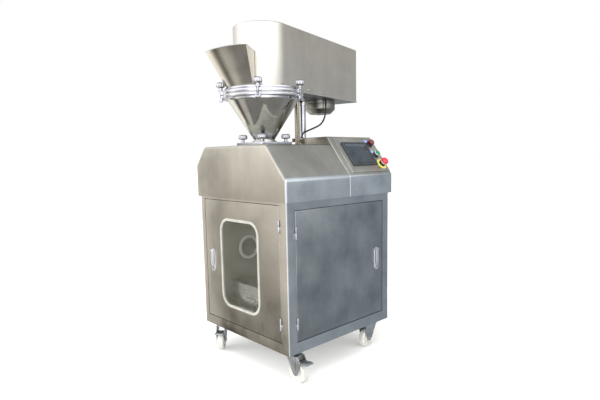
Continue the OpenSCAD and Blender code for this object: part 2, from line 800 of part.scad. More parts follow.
// Feed screw with its agitator and belt pulley
module feed_screw() color(steel) at_hopper() {
    lean = atan((cone_r - barrel_r) / (cone_z1 - cone_z0));
    rod_z(screw_shaft, 0, 0, barrel_z0 + 4, pulley_z + pulley_h + 8);
    flight(screw_shaft - 2, barrel_r - 3, barrel_z0 + 6, 60, 2, 4, 16);
    for (t = [0, 180]) rotate([0, 0, t]) {
        block([0, -5, 1262], [132, 5, 1272]);
        translate([barrel_r - 16, 0, cone_z0 + 12]) rotate([0, lean, 0]) block([-4, -8, 0], [4, 8, 186]);
        block([0, -5, 1150], [60, 5, 1158]);
    }
    rod_z(30, 0, 0, pulley_z - 4, pulley_z + 1);
    rod_z(screw_pulley_r, 0, 0, pulley_z, pulley_z + pulley_h);
}

module hopper_stay() color(warm_steel) {
    block([-1, 12, hood_top + 6], [23, 26, ring_z + flange_t]);
    block([-14, 4, hood_top], [36, 34, hood_top + 6.5]);
    block([-1, hop_y + ring_r + 0.1, ring_z], [23, 13, ring_z + flange_t]);
    block([-24, 12.5, hood_top + 20], [-1.2, 26, hood_top + 38]);
}

// Swing bolt with its eye and hand knob
module clamp(a) color(chrome) at_hopper() rotate([0, 0, a]) translate([0, -clamp_r, 0]) {
    difference() {
        union() {
            translate([-5.5, 0, clamp_pivot_z]) rotate([0, 90, 0]) cylinder(r = 8, h = 11);
            rod_z(bolt_r, 0, 0, clamp_pivot_z + 5, lid_z + lid_t + 6);
        }
        translate([-9, 0, clamp_pivot_z]) rotate([0, 90, 0]) cylinder(r = 3 + fit, h = 18);
    }
    translate([0, 0, lid_z + lid_t + 0.5]) hand_knob(21, 24, 12, 18);
}

module clamp_front_right() clamp(clamps[0]);
module clamp_front_left() clamp(clamps[1]);
module clamp_rear_right() clamp(clamps[2]);
module clamp_rear_left() clamp(clamps[3]);

// ---- arm ----
module arm_outline(r, y1) {
    circle(r, $fn = 96);
    translate([-r, 0]) square([2 * r, y1]);
}

module column() color(chrome) on_arm() translate([0, column_at, 0]) {
    rod_z(column_r, 0, 0, cab_z1, arm_z0 - 39);
    rod_z(column_r + 5, 0, 0, arm_z0 - 40, arm_z0);
    rod_z(38, 0, 0, cab_z1, cab_z1 + 12);
}

module arm_base() color(steel) on_arm() difference() {
    translate([0, 0, arm_z0]) linear_extrude(6) arm_outline(arm_r + 2, arm_l + 2);
    rod_z(bush_r + 0.2, 0, 0, arm_z0 - 1, arm_z0 + 7);
    rod_z(motor_shaft + 3, 0, motor_at, arm_z0 - 1, arm_z0 + 7);
}

module arm_cover() color(steel) on_arm() {
    difference() {
        translate([0, 0, arm_z0 + 6]) linear_extrude(arm_z1 - arm_z0 - 6) arm_outline(arm_r, arm_l);
        translate([0, 0, arm_z0 + 5]) linear_extrude(arm_z1 - arm_z0 - 5 - 2.5) arm_outline(arm_r - 2.5, arm_l - 2.5);
    }
}

module feed_motor() color(steel) on_arm() translate([0, motor_at, 0]) difference() {
    rotate_extrude()
        polygon([[0, motor_z0],
            for (t = [-90:15:0]) [motor_r - motor_cap * (1 - cos(t)), motor_z0 + motor_cap * (1 + sin(t))],
            [motor_r, arm_z0], [0, arm_z0]]);
    rod_z(motor_shaft + fit, 0, 0, arm_z0 - 40, arm_z0 + 1);
}

module motor_pulley() color(slate_steel) on_arm() translate([0, motor_at, 0]) {
    rod_z(motor_shaft, 0, 0, arm_z0 - 38, pulley_z + pulley_h + 4);
    rod_z(motor_pulley_r, 0, 0, pulley_z, pulley_z + pulley_h);
}

// Outline of a belt that runs round both pulleys, its run drawn grow outside them
module belt_outline(grow) {
    r1 = screw_pulley_r + grow;
    r2 = motor_pulley_r + grow;
    a = asin((r1 - r2) / motor_at);
    q1 = r1 - 0.02;
    q2 = r2 - 0.02;
    circle(r1, $fn = 96);
    translate([0, motor_at]) circle(r2, $fn = 96);
    polygon([[q1 * cos(a), q1 * sin(a)], [q2 * cos(a), motor_at + q2 * sin(a)],
        [-q2 * cos(a), motor_at + q2 * sin(a)], [-q1 * cos(a), q1 * sin(a)]]);
}

module drive_belt() color(black) on_arm() translate([0, 0, pulley_z + 3]) linear_extrude(pulley_h - 6) difference() {
    belt_outline(6);
    belt_outline(free);
}

// ---- cable ----
function along(route, i) =
    let (n = len(route) - 1, d = route[min(n, i + 1)] - route[max(0, i - 1)]) d / norm(d);

module tube(route, r, sides) {
    n = len(route);
    pts = [
        for (i = [0:n - 1])
            let (d = i == 0 || i == n - 1 ? [0, 0, -1] : along(route, i), u = cross(d, [1, 0, 0]), v = cross(d, u / norm(u)))
                for (k = [0:sides - 1]) let (a = 360 * k / sides) route[i] + r * (cos(a) * u / norm(u) + sin(a) * v)
    ];
    walls = [
        for (i = [0:n - 2], k = [0:sides - 1])
            let (a = i * sides + k, b = i * sides + (k + 1) % sides) each [[a, b, b + sides], [a, b + sides, a + sides]]
    ];
    polyhedron(pts, concat([[for (k = [sides - 1:-1:0]) k]], walls, [[for (k = [0:sides - 1]) (n - 1) * sides + k]]));
}

module motor_cable() color(black) tube(cable_route, cable_d / 2, 10);

// Cable glands: the arm's, the bay's and the supply's
module cable_glands() color(black) {
    translate([-15, 262, arm_z0 - 12]) cylinder(r = 8, h = 12);
    translate([0, 62, bay_top - 4]) cylinder(r = 5.5, h = 6);
    translate([0, 62, bay_top]) cylinder(r = 10, h = 6);
    difference() {
        union() {
            rod_y(9.5, 230, 230, hd - 9, hd + sheet + 1);
            rod_y(15, 230, 230, hd + sheet, hd + sheet + 22);
            rod_y(15, 230, 230, hd - 10, hd);
        }
        rod_y(6.5, 230, 230, hd - 13, hd + sheet + 23);
    }
}

cabinet_frame();
cover_panels();
compartment_liner();
front_hood();
rear_hood();
control_plate();
touch_panel();
button_collars();
estop_button();
start_button();
stop_button();
front_door();
window_pane();
window_gasket();
front_lock();
front_lever();
side_door();
side_lock();
side_lever();
castor_plates();
fork_front_right();
fork_front_left();
fork_rear_right();
fork_rear_left();
wheel_front_right();
wheel_front_left();
wheel_rear_right();
wheel_rear_left();
pedal_front_right();
pedal_front_left();
roll_housing();
bearings();
press_roll_left();
press_roll_right();
gearmotors();
granulator_rotor();
granulator_screen();
discharge_spout();
collecting_bin();
control_gear();
hopper_base();
hopper_knobs();
hopper_cone();
lid_gasket();
hopper_lid();
feed_funnel();
feed_screw();
hopper_stay();
clamp_front_right();
clamp_front_left();
clamp_rear_right();
clamp_rear_left();
column();
arm_base();
arm_cover();
feed_motor();
motor_pulley();
drive_belt();
motor_cable();
cable_glands();
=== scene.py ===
"""Looks of a dry granulator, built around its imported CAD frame.

Shapes are drawn in millimetres, in the CAD part's own frame, and each piece is finished in metres."""
import json
import math

import bmesh
import bpy
from mathutils import Matrix, Vector


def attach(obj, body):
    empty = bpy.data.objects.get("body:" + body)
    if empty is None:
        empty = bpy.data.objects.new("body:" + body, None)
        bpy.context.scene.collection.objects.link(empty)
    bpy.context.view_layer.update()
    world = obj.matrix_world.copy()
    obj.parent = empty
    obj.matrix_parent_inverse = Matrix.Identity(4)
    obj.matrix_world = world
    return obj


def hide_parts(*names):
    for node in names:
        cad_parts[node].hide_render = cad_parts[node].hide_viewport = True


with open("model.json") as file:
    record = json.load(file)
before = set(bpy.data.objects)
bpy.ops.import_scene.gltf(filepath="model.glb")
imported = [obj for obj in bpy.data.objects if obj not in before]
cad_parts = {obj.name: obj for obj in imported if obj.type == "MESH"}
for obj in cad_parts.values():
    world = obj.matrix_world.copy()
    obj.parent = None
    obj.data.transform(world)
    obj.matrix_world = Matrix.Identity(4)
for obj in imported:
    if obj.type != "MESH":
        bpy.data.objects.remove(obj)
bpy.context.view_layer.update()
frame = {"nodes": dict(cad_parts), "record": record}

METRES = Matrix.Scale(0.001, 4)

# ---- driving sizes, in millimetres, as the CAD part has them ----
HALF_W, HALF_D = 342, 360
CAB_LOW, CAB_TOP = 144, 828
PLATE, SHEET, GAP, DOOR_T = 3, 2, 2, 20
FRONT_DOOR = (-302, 293, 194, 814)
SIDE_DOOR = (-308, 306, 198, 790)
WINDOW = (-158, 139, 282, 719)
WINDOW_R = 60
FRONT_HINGES, SIDE_HINGES = (254, 694), (254, 664)
HINGE_H, HINGE_R, HINGE_OUT = 28, 4.5, 4.8
FRONT_LOCK, SIDE_LOCK = (-238, 497.5), (254, 491.5)
HOOD_W, HOOD_Y0, HOOD_Y1 = 354, -372, 373
HOOD_TOP, BAND_R, BAND_L = 1080.5, 927, 986
BAY_Y, BAY_X0, BAY_X1, BAY_TOP = 40, -20, 206, 1120
CONTROL = (4, 226, 72, 368)
CONTROL_T = 4
BUTTON_Y, STOP_S, START_S, ESTOP_S = 330, 50, 120, 182
DISPLAY = (48, 116, 178, 284)
STEM_R, STEM_BORE, STEM_HOLE = 8.8, 9.2, 12
FEED_HOLE, LEAD_TOP, LEAD_BAY_Y = 40.2, (-15, 262), 62
KING_HOLE, AXLE_HOLE = 8.05, 6.1
# WALL is the sheet of the arm and the funnel, AIR the gap from the arm to the funnel and the lid's lip
WALL, AIR = 2.5, 4
HOP_Y, RING_R, RING_Z, FLANGE_T = -193, 200, 1304.5, 10
LID_Z, LID_TOP, LIP_R, LIP_TOP = 1318.5, 1336, 188, 1349
BARREL_R, CONE_R, CONE_Z0, CONE_Z1 = 49, 170, 1111, 1295
NECK_Z = HOOD_TOP + 16
CLAMP_R, CLAMP_Z, CLAMPS = 206, 1294.5, (45, -26, 108, -95)
FUNNEL, FUNNEL_R0, FUNNEL_R1, FUNNEL_TOP = (-18, 37), 182, 276, 1508
ARM_R, ARM_L, ARM_TURN, ARM_Z0, ARM_Z1 = 137, 718, 12.7, 1338, 1640
MOTOR_AT, MOTOR_R, MOTOR_Z0 = 525, 86, 1266
COLUMN_AT, COLUMN_R = 341, 18
WHEEL_R, WHEEL_W, TRAIL = 49, 34, 45
CASTORS = (("front_right", 282, -292, 0), ("front_left", -282, -292, -45),
           ("rear_right", 282, 292, -90), ("rear_left", -282, 292, 200))
SLOPE = math.degrees(math.atan((BAY_TOP - BAND_R) / (HOOD_W - BAY_X1)))
FRONT_SECTION = ((-HOOD_W, CAB_TOP), (HOOD_W, CAB_TOP), (HOOD_W, BAND_R), (226.5, HOOD_TOP),
                 (-274, HOOD_TOP), (-HOOD_W, BAND_L))
REAR_SECTION = ((-HOOD_W, CAB_TOP), (HOOD_W, CAB_TOP), (HOOD_W, BAND_R), (BAY_X1, BAY_TOP),
                (BAY_X0, BAY_TOP), (BAY_X0, HOOD_TOP), (-274, HOOD_TOP), (-HOOD_W, BAND_L))


# ---- places ----
def move(x, y, z):
    return Matrix.Translation((x, y, z))


def turn(angle, axis):
    return Matrix.Rotation(math.radians(angle), 4, axis)


HERE = Matrix.Identity(4)
HOPPER = move(0, HOP_Y, 0)
ARM = HOPPER @ turn(ARM_TURN, "Z")
ON_SLOPE = move(BAY_X1, 0, BAY_TOP) @ turn(SLOPE, "Y")
TO_FRONT = turn(90, "X")
ALONG_Y = turn(-90, "X")
TO_SIDE = Matrix(((0, 0, 1, 0), (1, 0, 0, 0), (0, 1, 0, 0), (0, 0, 0, 1)))
AXLE = move(TRAIL, 0, WHEEL_R) @ TO_FRONT


def on_front(x, z):
    return move(x, -HALF_D, z)


def on_side(y, z):
    return move(HALF_W, y, z) @ turn(90, "Z")


# ---- making things ----
def configure(thing, **settings):
    for key, value in settings.items():
        setattr(thing, key, value)
    return thing


def add_object(name, data):
    thing = bpy.data.objects.new(name, data)
    bpy.context.scene.collection.objects.link(thing)
    return thing


# ---- camera ----
def make_camera():
    azimuth, elevation, roll = (math.radians(v) for v in (47.0, 6.82, -1.07))
    back = Vector((math.sin(azimuth) * math.cos(elevation), -math.cos(azimuth) * math.cos(elevation),
                   math.sin(elevation)))
    level = Vector((math.cos(azimuth), math.sin(azimuth), 0))
    upright = back.cross(level)
    right = math.cos(roll) * level + math.sin(roll) * upright
    up = math.cos(roll) * upright - math.sin(roll) * level
    camera = add_object("camera", bpy.data.cameras.new("camera"))
    configure(camera.data, sensor_width=36, lens=28.26, shift_x=-0.0024, shift_y=0.022)
    camera.matrix_world = Matrix((
        (right.x, up.x, back.x, 1.8423), (right.y, up.y, back.y, -1.6697),
        (right.z, up.z, back.z, 1.0222), (0, 0, 0, 1)))
    bpy.context.scene.camera = camera


make_camera()


# ---- finishes ----
def tone(code):
    """Linear colour of a six-digit sRGB code."""
    values = [int(code[i:i + 2], 16) / 255 for i in (0, 2, 4)]
    return [v / 12.92 if v <= 0.04045 else ((v + 0.055) / 1.055) ** 2.4 for v in values] + [1]


class Graph:
    """A node tree, and ways to add to it."""

    def __init__(self, tree):
        self.nodes, self.links = tree.nodes, tree.links

    def add(self, kind, inputs, **settings):
        node = configure(self.nodes.new("ShaderNode" + kind), **settings)
        for key, value in inputs.items():
            if isinstance(value, bpy.types.NodeSocket):
                self.links.new(value, node.inputs[key])
            else:
                node.inputs[key].default_value = value
        return node

    def span(self, value, low, high, to_low=0.0, to_high=1.0):
        """The value, with the range from low to high stretched over another."""
        ends = {"Value": value, "From Min": low, "From Max": high, "To Min": to_low, "To Max": to_high}
        return self.add("MapRange", ends).outputs[0]

    def ramp(self, share, stops):
        """The colour at a share, from stops of (place, linear colour)."""
        node = self.add("ValToRGB", {"Fac": share})
        bands = node.color_ramp.elements
        while len(bands) < len(stops):
            bands.new(0.5)
        for band, (place, colour) in zip(bands, stops):
            band.position = place
            band.color = colour
        return node.outputs["Color"]


class Finish(Graph):
    """A material of one Principled shader with procedural patterns on it."""

    def __init__(self, name, **fixed):
        self.material = bpy.data.materials.new(name)
        self.material.use_nodes = True
        super().__init__(self.material.node_tree)
        self.shader = self.nodes["Principled BSDF"]
        self.where = self.add("TexCoord", {}).outputs["Object"]
        for socket, value in fixed.items():
            self.shader.inputs[socket.replace("_", " ")].default_value = value

    def noise(self, scale, detail=3, stretch=(1, 1, 1), rough=0.55):
        place = self.add("Mapping", {"Vector": self.where, "Scale": stretch})
        pattern = {"Vector": place.outputs[0], "Scale": scale, "Detail": detail, "Roughness": rough}
        return self.add("TexNoise", pattern).outputs["Fac"]

    def total(self, *weighted):
        """Sum of patterns, each with its weight."""
        out = 0.0
        for socket, weight in weighted:
            out = self.add("Math", {0: socket, 1: weight, 2: out}, operation="MULTIPLY_ADD").outputs[0]
        return out

    def colour(self, pattern, *stops):
        colours = self.ramp(pattern, [(place, tone(code)) for place, code in stops])
        self.links.new(colours, self.shader.inputs["Base Color"])

    def roughness(self, pattern, low, high):
        self.links.new(self.span(pattern, 0.3, 0.7, low, high), self.shader.inputs["Roughness"])

    def bump(self, pattern, depth, strength=0.6):
        relief = {"Height": pattern, "Distance": depth, "Strength": strength}
        self.links.new(self.add("Bump", relief).outputs[0], self.shader.inputs["Normal"])


GRAIN = {"x": (9, 620, 620), "y": (620, 9, 620), "z": (620, 620, 9), "ring": (20, 20, 700)}


def metal(name, dark, light, rough, grain="z", cloud=4.5, painted_low_shade=None):
    """Brushed or ground sheet: fine streaks along the grain, broad bands and soft handling marks.

    The painted shade, if any, is a colour with the heights between which it fades out, in metres: it darkens
    the sheet towards the floor as painted shade."""
    f = Finish(name, Metallic=1.0)
    streaks = f.noise(1, 4, GRAIN[grain], 0.7)
    bands = f.noise(1, 2, [v * 0.03 for v in GRAIN[grain]])
    clouds = f.noise(cloud, 4)
    shade = f.total((streaks, 0.1), (bands, 0.15), (clouds, 0.75))
    stops = [(0.3, dark), (0.7, light)]
    # painted shade: the colour darkens towards the bottom, down to the shade tone at the floor
    if painted_low_shade:
        shade_tone, low, high = painted_low_shade
        height = f.add("SeparateXYZ", {"Vector": f.where}).outputs["Z"]
        shade = f.total((shade, 1.0), (f.span(height, low, high, -0.35, 0.0), 1.0))
        stops.insert(0, (0.08, shade_tone))
    f.colour(shade, *stops)
    f.roughness(f.total((clouds, 0.7), (streaks, 0.3)), rough * 0.84, rough * 1.2)
    f.bump(streaks, 0.00001, 0.3)
    return f.material


def polish(name, dark, light, rough, grain="ring"):
    """Mirror or near-mirror metal with faint turning marks and finger smudges."""
    f = Finish(name, Metallic=1.0)
    smudges = f.noise(16, 5, rough=0.65)
    marks = f.noise(1, 3, GRAIN[grain], 0.6)
    f.colour(f.total((smudges, 0.6), (marks, 0.4)), (0.35, dark), (0.65, light))
    f.roughness(smudges, rough * 0.6, rough * 1.7)
    f.bump(marks, 0.000012)
    return f.material


def plastic(name, dark, light, rough, pebble=0.00003, **fixed):
    """Moulded plastic or rubber: a faint pebble, uneven gloss and slight dirt."""
    f = Finish(name, **fixed)
    pebbles = f.noise(1400, 2)
    stains = f.noise(22, 5, rough=0.6)
    f.colour(stains, (0.34, dark), (0.62, light))
    f.roughness(stains, rough * 0.85, min(1, rough * 1.2))
    f.bump(pebbles, pebble)
    return f.material


def paint(name, dark, light, rough):
    """Machine enamel with a slight orange peel."""
    f = Finish(name, Coat_Weight=0.3, Coat_Roughness=0.15)
    f.colour(f.noise(9, 4), (0.35, dark), (0.65, light))
    f.roughness(f.noise(30, 3), rough * 0.85, rough * 1.2)
    f.bump(f.noise(420, 2), 0.00012)
    return f.material


def zinc(name, dark, light, rough):
    """Zinc plate with a fine spangle."""
    f = Finish(name, Metallic=1.0)
    spangle = f.add("TexVoronoi", {"Vector": f.where, "Scale": 260}).outputs["Color"]
    f.colour(f.total((spangle, 0.35), (f.noise(14, 4), 0.65)), (0.3, dark), (0.7, light))
    f.roughness(f.noise(60, 4), rough * 0.8, rough * 1.25)
    f.bump(spangle, 0.00002)
    return f.material


def clear_sheet(name):
    """The window's clear sheet, thinly hazed where it has been wiped."""
    f = Finish(name, Alpha=0.16)
    wiped = f.noise(1, 4, (7, 7, 30))
    f.colour(wiped, (0.35, "6E6E60"), (0.65, "84847A"))
    f.roughness(wiped, 0.06, 0.14)
    return f.material


# Painted shade: this sheet is darkened towards the bottom, between 0.14 and 0.46 m.
# front_sheet, side_sheet, hood_sheet, band_sheet, frame_front_sheet and frame_side_sheet are one stainless
# sheet painted in a tone for the side it faces, standing in for the light and reflections that side gets.
FRONT = metal("front_sheet", "98938A", "B9B4AA", 0.34, "z", painted_low_shade=("5F5C52", 0.14, 0.46))
SIDE = metal("side_sheet", "767E83", "A0A6AA", 0.30, "z", cloud=6)
HOOD = metal("hood_sheet", "A1A39E", "C5C6C1", 0.33, "x")
ARM_SKIN = metal("arm_sheet", "B6B3AC", "CFCCC5", 0.30, "z")
POLISHED = polish("polished", "99999F", "C5C6CD", 0.1)
SATIN = metal("satin", "B6B8B7", "D1D2D1", 0.26, "x")
MIRROR = polish("mirror_cone", "98968F", "BAB8B2", 0.07)
# dark_steel is also the painted shade on the arm flange's underside.
DARK_STEEL_AND_SHADE = metal("dark_steel", "4E5153", "7B7E80", 0.38, "ring")
GREY_PAINT = paint("paint_grey", "474A48", "5C5F5C", 0.4)
ZINC = zinc("zinc", "84898C", "B4B9BC", 0.34)
NYLON = plastic("nylon", "BAB9B2", "D2D1CB", 0.38)
BLACK = plastic("black_plastic", "141415", "222224", 0.42)
PANEL = plastic("panel_plastic", "2B3035", "383E44", 0.40)
RED = plastic("red_cap", "AE1226", "C81E38", 0.22, 0.00001, Coat_Weight=0.6)
DARK_RED = plastic("dark_red_cap", "52080F", "700F1A", 0.16, 0.00001, Coat_Weight=0.8)
GREEN = plastic("green_cap", "07603F", "0C7753", 0.16, 0.00001, Coat_Weight=0.8)
RIM = plastic("rim_rubber", "989890", "ABAAA2", 0.55)
WHITE_RUBBER = plastic("white_rubber", "D4D4CE", "E8E8E2", 0.5)
BELT = plastic("belt_rubber", "1B1B1B", "2A2A2A", 0.7)
CABLE = plastic("cable_rubber", "101010", "1E1E1E", 0.5)
PANE = clear_sheet("pane")
YELLOW = plastic("yellow_ring", "C4BC55", "DAD270", 0.4)
LILAC = plastic("lilac_label", "7F8AD8", "98A2EA", 0.35)
WHITE = plastic("white_plastic", "DADADC", "F0F0F2", 0.3)
SCREEN = plastic("screen_glass", "2B3138", "363E46", 0.16, 0.000004, Specular_IOR_Level=0.3)
SCREEN_HEAD = plastic("screen_header", "3E464D", "4A525A", 0.16, 0.000004, Specular_IOR_Level=0.3)
KEYPAD = plastic("drive_keypad", "3B4045", "52585E", 0.45)
# Painted shade: this sheet is darkened towards the bottom, between 0.14 and 0.4 m.
FRAME_FRONT = metal("frame_front_sheet", "B0AAA0", "D0CAC0", 0.34, "z", painted_low_shade=("605C52", 0.14, 0.4))
FRAME_SIDE = metal("frame_side_sheet", "8F979D", "B8BEC3", 0.30, "y")
SIDE_BAND = metal("band_sheet", "9FA7AD", "CDD4DA", 0.30, "y")
FLANGE = metal("arm_flange_sheet", "B6B4AE", "DEDCD6", 0.26, "y")
MOTOR_SKIN = metal("motor_sheet", "74736D", "94938D", 0.32, "ring")
LINER = paint("liner_sheet", "706F64", "89887B", 0.42)
# Painted shade: the jambs are a dark sheet, so that the gaps round the doors read as deep shade.
SHADED_JAMB = metal("shaded_jamb_sheet", "5C5B58", "777673", 0.4, "z")
PEDAL = metal("pedal_steel", "8B9093", "B3B8BB", 0.34, "ring")
LOCK_SKIN = metal("lock_plate", "C0C3C8", "E6E8EC", 0.32, "z")
STAY = metal("stay_sheet", "8E8778", "B9B1A2", 0.3, "z")
FUNNEL_SKIN = metal("funnel_sheet", "9C968B", "C9C4BA", 0.2, "z", cloud=7)


# ---- outlines and solids, in millimetres ----
def fillet(points, closed=True, steps=5):
    """The points (x, y), where a third value rounds that corner with an arc of that radius."""
    out = []
    for i, p in enumerate(points):
        radius = p[2] if len(p) > 2 else 0
        if radius == 0 or (not closed and i in (0, len(points) - 1)):
            out.append((p[0], p[1]))
            continue
        corner = Vector(p[:2])
        back = (Vector(points[i - 1][:2]) - corner).normalized()
        on = (Vector(points[(i + 1) % len(points)][:2]) - corner).normalized()
        half = back.angle(on) / 2
        centre = corner + (back + on).normalized() * (radius / math.sin(half))
        first = corner + back * (radius / math.tan(half)) - centre
        last = corner + on * (radius / math.tan(half)) - centre
        start = math.atan2(first.y, first.x)
        sweep = (math.atan2(last.y, last.x) - start + math.pi) % (2 * math.pi) - math.pi
        for k in range(steps + 1):
            a = start + sweep * k / steps
            out.append((centre.x + radius * math.cos(a), centre.y + radius * math.sin(a)))
    return out


def box_outline(x0, y0, x1, y1, radius=0, steps=5):
    corners = [(x0, y0), (x1, y0), (x1, y1), (x0, y1)]
    return fillet([(x, y, radius) for x, y in corners], steps=steps)


def circle(radius, sides=48, x=0, y=0):
    angles = [2 * math.pi * k / sides for k in range(sides)]
    return [(x + radius * math.cos(a), y + radius * math.sin(a)) for a in angles]


def rounded(bm, radius, steps=2, where=None, angle=25):
    """Rounds the edges that are sharper than the angle, or only those whose middle passes the test."""
    edges = [e for e in bm.edges if e.is_manifold and e.calc_face_angle() > math.radians(angle)
             and (where is None or where((e.verts[0].co + e.verts[1].co) / 2))]
    if radius > 0 and edges:
        bmesh.ops.bevel(bm, geom=edges, offset=radius, segments=steps, profile=0.5, affect="EDGES",
                        clamp_overlap=True)
    return bm


def block(low, high, edge=0.8, steps=2):
    bm = bmesh.new()
    bmesh.ops.create_cube(bm, size=1)
    low, high = Vector(low), Vector(high)
    bmesh.ops.scale(bm, vec=high - low, verts=bm.verts)
    bmesh.ops.translate(bm, vec=(low + high) / 2, verts=bm.verts)
    return rounded(bm, edge, steps)


def prism(loop, z0, z1, holes=(), edge=0, steps=2):
    """The outline, less its holes, drawn out from z0 to z1."""
    bm = bmesh.new()
    edges = []
    for ring in (loop, *holes):
        verts = [bm.verts.new((p[0], p[1], z0)) for p in ring]
        edges += [bm.edges.new(pair) for pair in zip(verts, verts[1:] + verts[:1])]
    if holes:
        bmesh.ops.triangle_fill(bm, use_beauty=True, use_dissolve=True, edges=edges)
    else:
        bm.faces.new(bm.verts)
    grown = bmesh.ops.extrude_face_region(bm, geom=bm.faces[:])
    top = [v for v in grown["geom"] if isinstance(v, bmesh.types.BMVert)]
    bmesh.ops.translate(bm, vec=(0, 0, z1 - z0), verts=top)
    bmesh.ops.recalc_face_normals(bm, faces=bm.faces)
    return rounded(bm, edge, steps)


def loft(rings, loop=False, gap=0):
    """Rings of points joined one to the next, capped unless they loop; a gap leaves each ring open."""
    bm = bmesh.new()
    rows = [[bm.verts.new(p) for p in ring] for ring in rings]
    pairs = list(zip(rows, rows[1:])) + ([(rows[-1], rows[0])] if loop else [])
    for a, b in pairs:
        for i in range(len(a) - gap):
            j = (i + 1) % len(a)
            bm.faces.new((a[i], a[j], b[j], b[i]))
    if not loop:
        bm.faces.new(rows[0])
        bm.faces.new(rows[-1])
    bmesh.ops.remove_doubles(bm, verts=bm.verts, dist=1e-3)
    bmesh.ops.recalc_face_normals(bm, faces=bm.faces)
    return bm


def lathe(profile, sides=48, closed=False, steps=4):
    """A profile of (radius, z) points turned about Z; a third value rounds a corner."""
    line = fillet(profile, closed, steps)
    rings = [[(r * x, r * y, z) for r, z in line] for x, y in circle(1, sides)]
    return loft(rings, loop=True, gap=0 if closed else 1)


def rod(radius, z0, z1, low=0, high=0, sides=32):
    """A cylinder, rounded off at its low and high ends."""
    return lathe([(0, z0), (radius, z0, low), (radius, z1, high), (0, z1)], sides)


def sleeve(bore, radius, z0, z1, low=0, high=0, sides=32):
    """A cylinder with a bore."""
    return lathe([(bore, z0), (radius, z0, low), (radius, z1, high), (bore, z1)], sides, closed=True)


FLUTED_FROM = 0.72


def fluted(profile, flutes, depth, sides=64, steps=4):
    """A turned solid whose outside, from FLUTED_FROM of its radius, is scalloped by shallow flutes."""
    line = fillet(profile, False, steps)
    widest = max(r for r, z in line)
    rings = []
    for r, z in line:
        share = max(0, r / widest - FLUTED_FROM) / (1 - FLUTED_FROM)
        ring = []
        for k, (x, y) in enumerate(circle(1, sides)):
            wave = 0.5 - 0.5 * math.cos(2 * math.pi * flutes * k / sides)
            cut = depth * share * wave ** 2
            ring.append(((r - cut) * x, (r - cut) * y, z))
        rings.append(ring)
    return loft(rings)


def tube(path, radius, sides=12):
    """A round bar along a path."""
    points = [Vector(p) for p in path]
    side = Vector((1, 0, 0)) if abs((points[1] - points[0]).normalized().x) < 0.9 else Vector((0, 1, 0))
    rings = []
    for i, p in enumerate(points):
        along = (points[min(i + 1, len(points) - 1)] - points[max(i - 1, 0)]).normalized()
        side = (side - along * side.dot(along)).normalized()
        other = along.cross(side)
        rings.append([p + x * side + y * other for x, y in circle(radius, sides)])
    return loft(rings)


def edging(path, section):
    """A section of (outward, up) points carried round a closed, counter-clockwise outline."""
    rings = []
    for i, p in enumerate(path):
        along = (Vector(path[(i + 1) % len(path)]) - Vector(path[i - 1])).normalized()
        out = Vector((along.y, -along.x))
        rings.append([(p[0] + out.x * u, p[1] + out.y * u, v) for u, v in section])
    return loft(rings, loop=True)


def at(place, solid):
    bmesh.ops.transform(solid, matrix=place, verts=solid.verts)
    return solid


def as_object(solid):
    mesh = bpy.data.meshes.new("work")
    solid.to_mesh(mesh)
    return add_object("work", mesh)


def carved(solid, *tools):
    """The solid with the tools cut out of it."""
    host = as_object(solid)
    cutters = [as_object(t) for t in tools]
    for cutter in cutters:
        configure(host.modifiers.new("cut", "BOOLEAN"), solver="EXACT", object=cutter)
    shape = bpy.data.meshes.new_from_object(host.evaluated_get(bpy.context.evaluated_depsgraph_get()))
    out = bmesh.new()
    out.from_mesh(shape)
    for thing in (host, *cutters):
        mesh = thing.data
        bpy.data.objects.remove(thing)
        bpy.data.meshes.remove(mesh)
    bpy.data.meshes.remove(shape)
    bmesh.ops.remove_doubles(out, verts=out.verts, dist=1e-3)
    bmesh.ops.dissolve_limit(out, angle_limit=0.002, verts=out.verts, edges=out.edges)
    return out


def piece(name, body, slot, *parts, replaces=(), place=HERE, crease=32):
    """One object made of (solid, material) parts, where a material may be a choice made per face."""
    whole = bmesh.new()
    materials = []
    for solid, finish, *more in parts:
        bmesh.ops.transform(solid, matrix=METRES @ place @ (more[0] if more else HERE), verts=solid.verts)
        solid.normal_update()
        for face in solid.faces:
            chosen = finish(face) if callable(finish) else finish
            if chosen not in materials:
                materials.append(chosen)
            face.material_index = materials.index(chosen)
            face.smooth = True
        step = bpy.data.meshes.new("step")
        solid.to_mesh(step)
        whole.from_mesh(step)
        bpy.data.meshes.remove(step)
        solid.free()
    mesh = bpy.data.meshes.new(name)
    whole.to_mesh(mesh)
    whole.free()
    mesh.set_sharp_from_angle(angle=math.radians(crease))
    for finish in materials:
        mesh.materials.append(finish)
    thing = add_object(name, mesh)
    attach(thing, body)
    if replaces:
        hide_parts(*replaces)
    return thing


def facing(front, side, other):
    """Chooses a finish by the way a face looks: to the front, to the right, or elsewhere. The finishes are
    tones of one sheet painted per side, standing in for the light and reflections that side gets; the third,
    lighter than the front, also lies on the rounded corners and bends as a painted highlight.
    """
    def choose(face):
        if face.normal.y < -0.8:
            return front
        return side if face.normal.x > 0.8 else other
    return choose


# ---- motor cable ----
CABLE_D = 0.009
CABLE_ROUTE = [
    (-0.015, 0.262, 1.326), (-0.015, 0.262, 1.308), (-0.015, 0.262, 1.290), (-0.015, 0.261, 1.272),
    (-0.015, 0.257, 1.254), (-0.014, 0.250, 1.237), (-0.013, 0.240, 1.221), (-0.012, 0.226, 1.207),
    (-0.011, 0.209, 1.195), (-0.009, 0.190, 1.187), (-0.008, 0.170, 1.180), (-0.006, 0.151, 1.174),
    (-0.005, 0.132, 1.168), (-0.004, 0.114, 1.162), (-0.002, 0.097, 1.157), (-0.001, 0.082, 1.152),
    (0.000, 0.071, 1.145), (0.000, 0.064, 1.136), (0.000, 0.062, 1.126)]


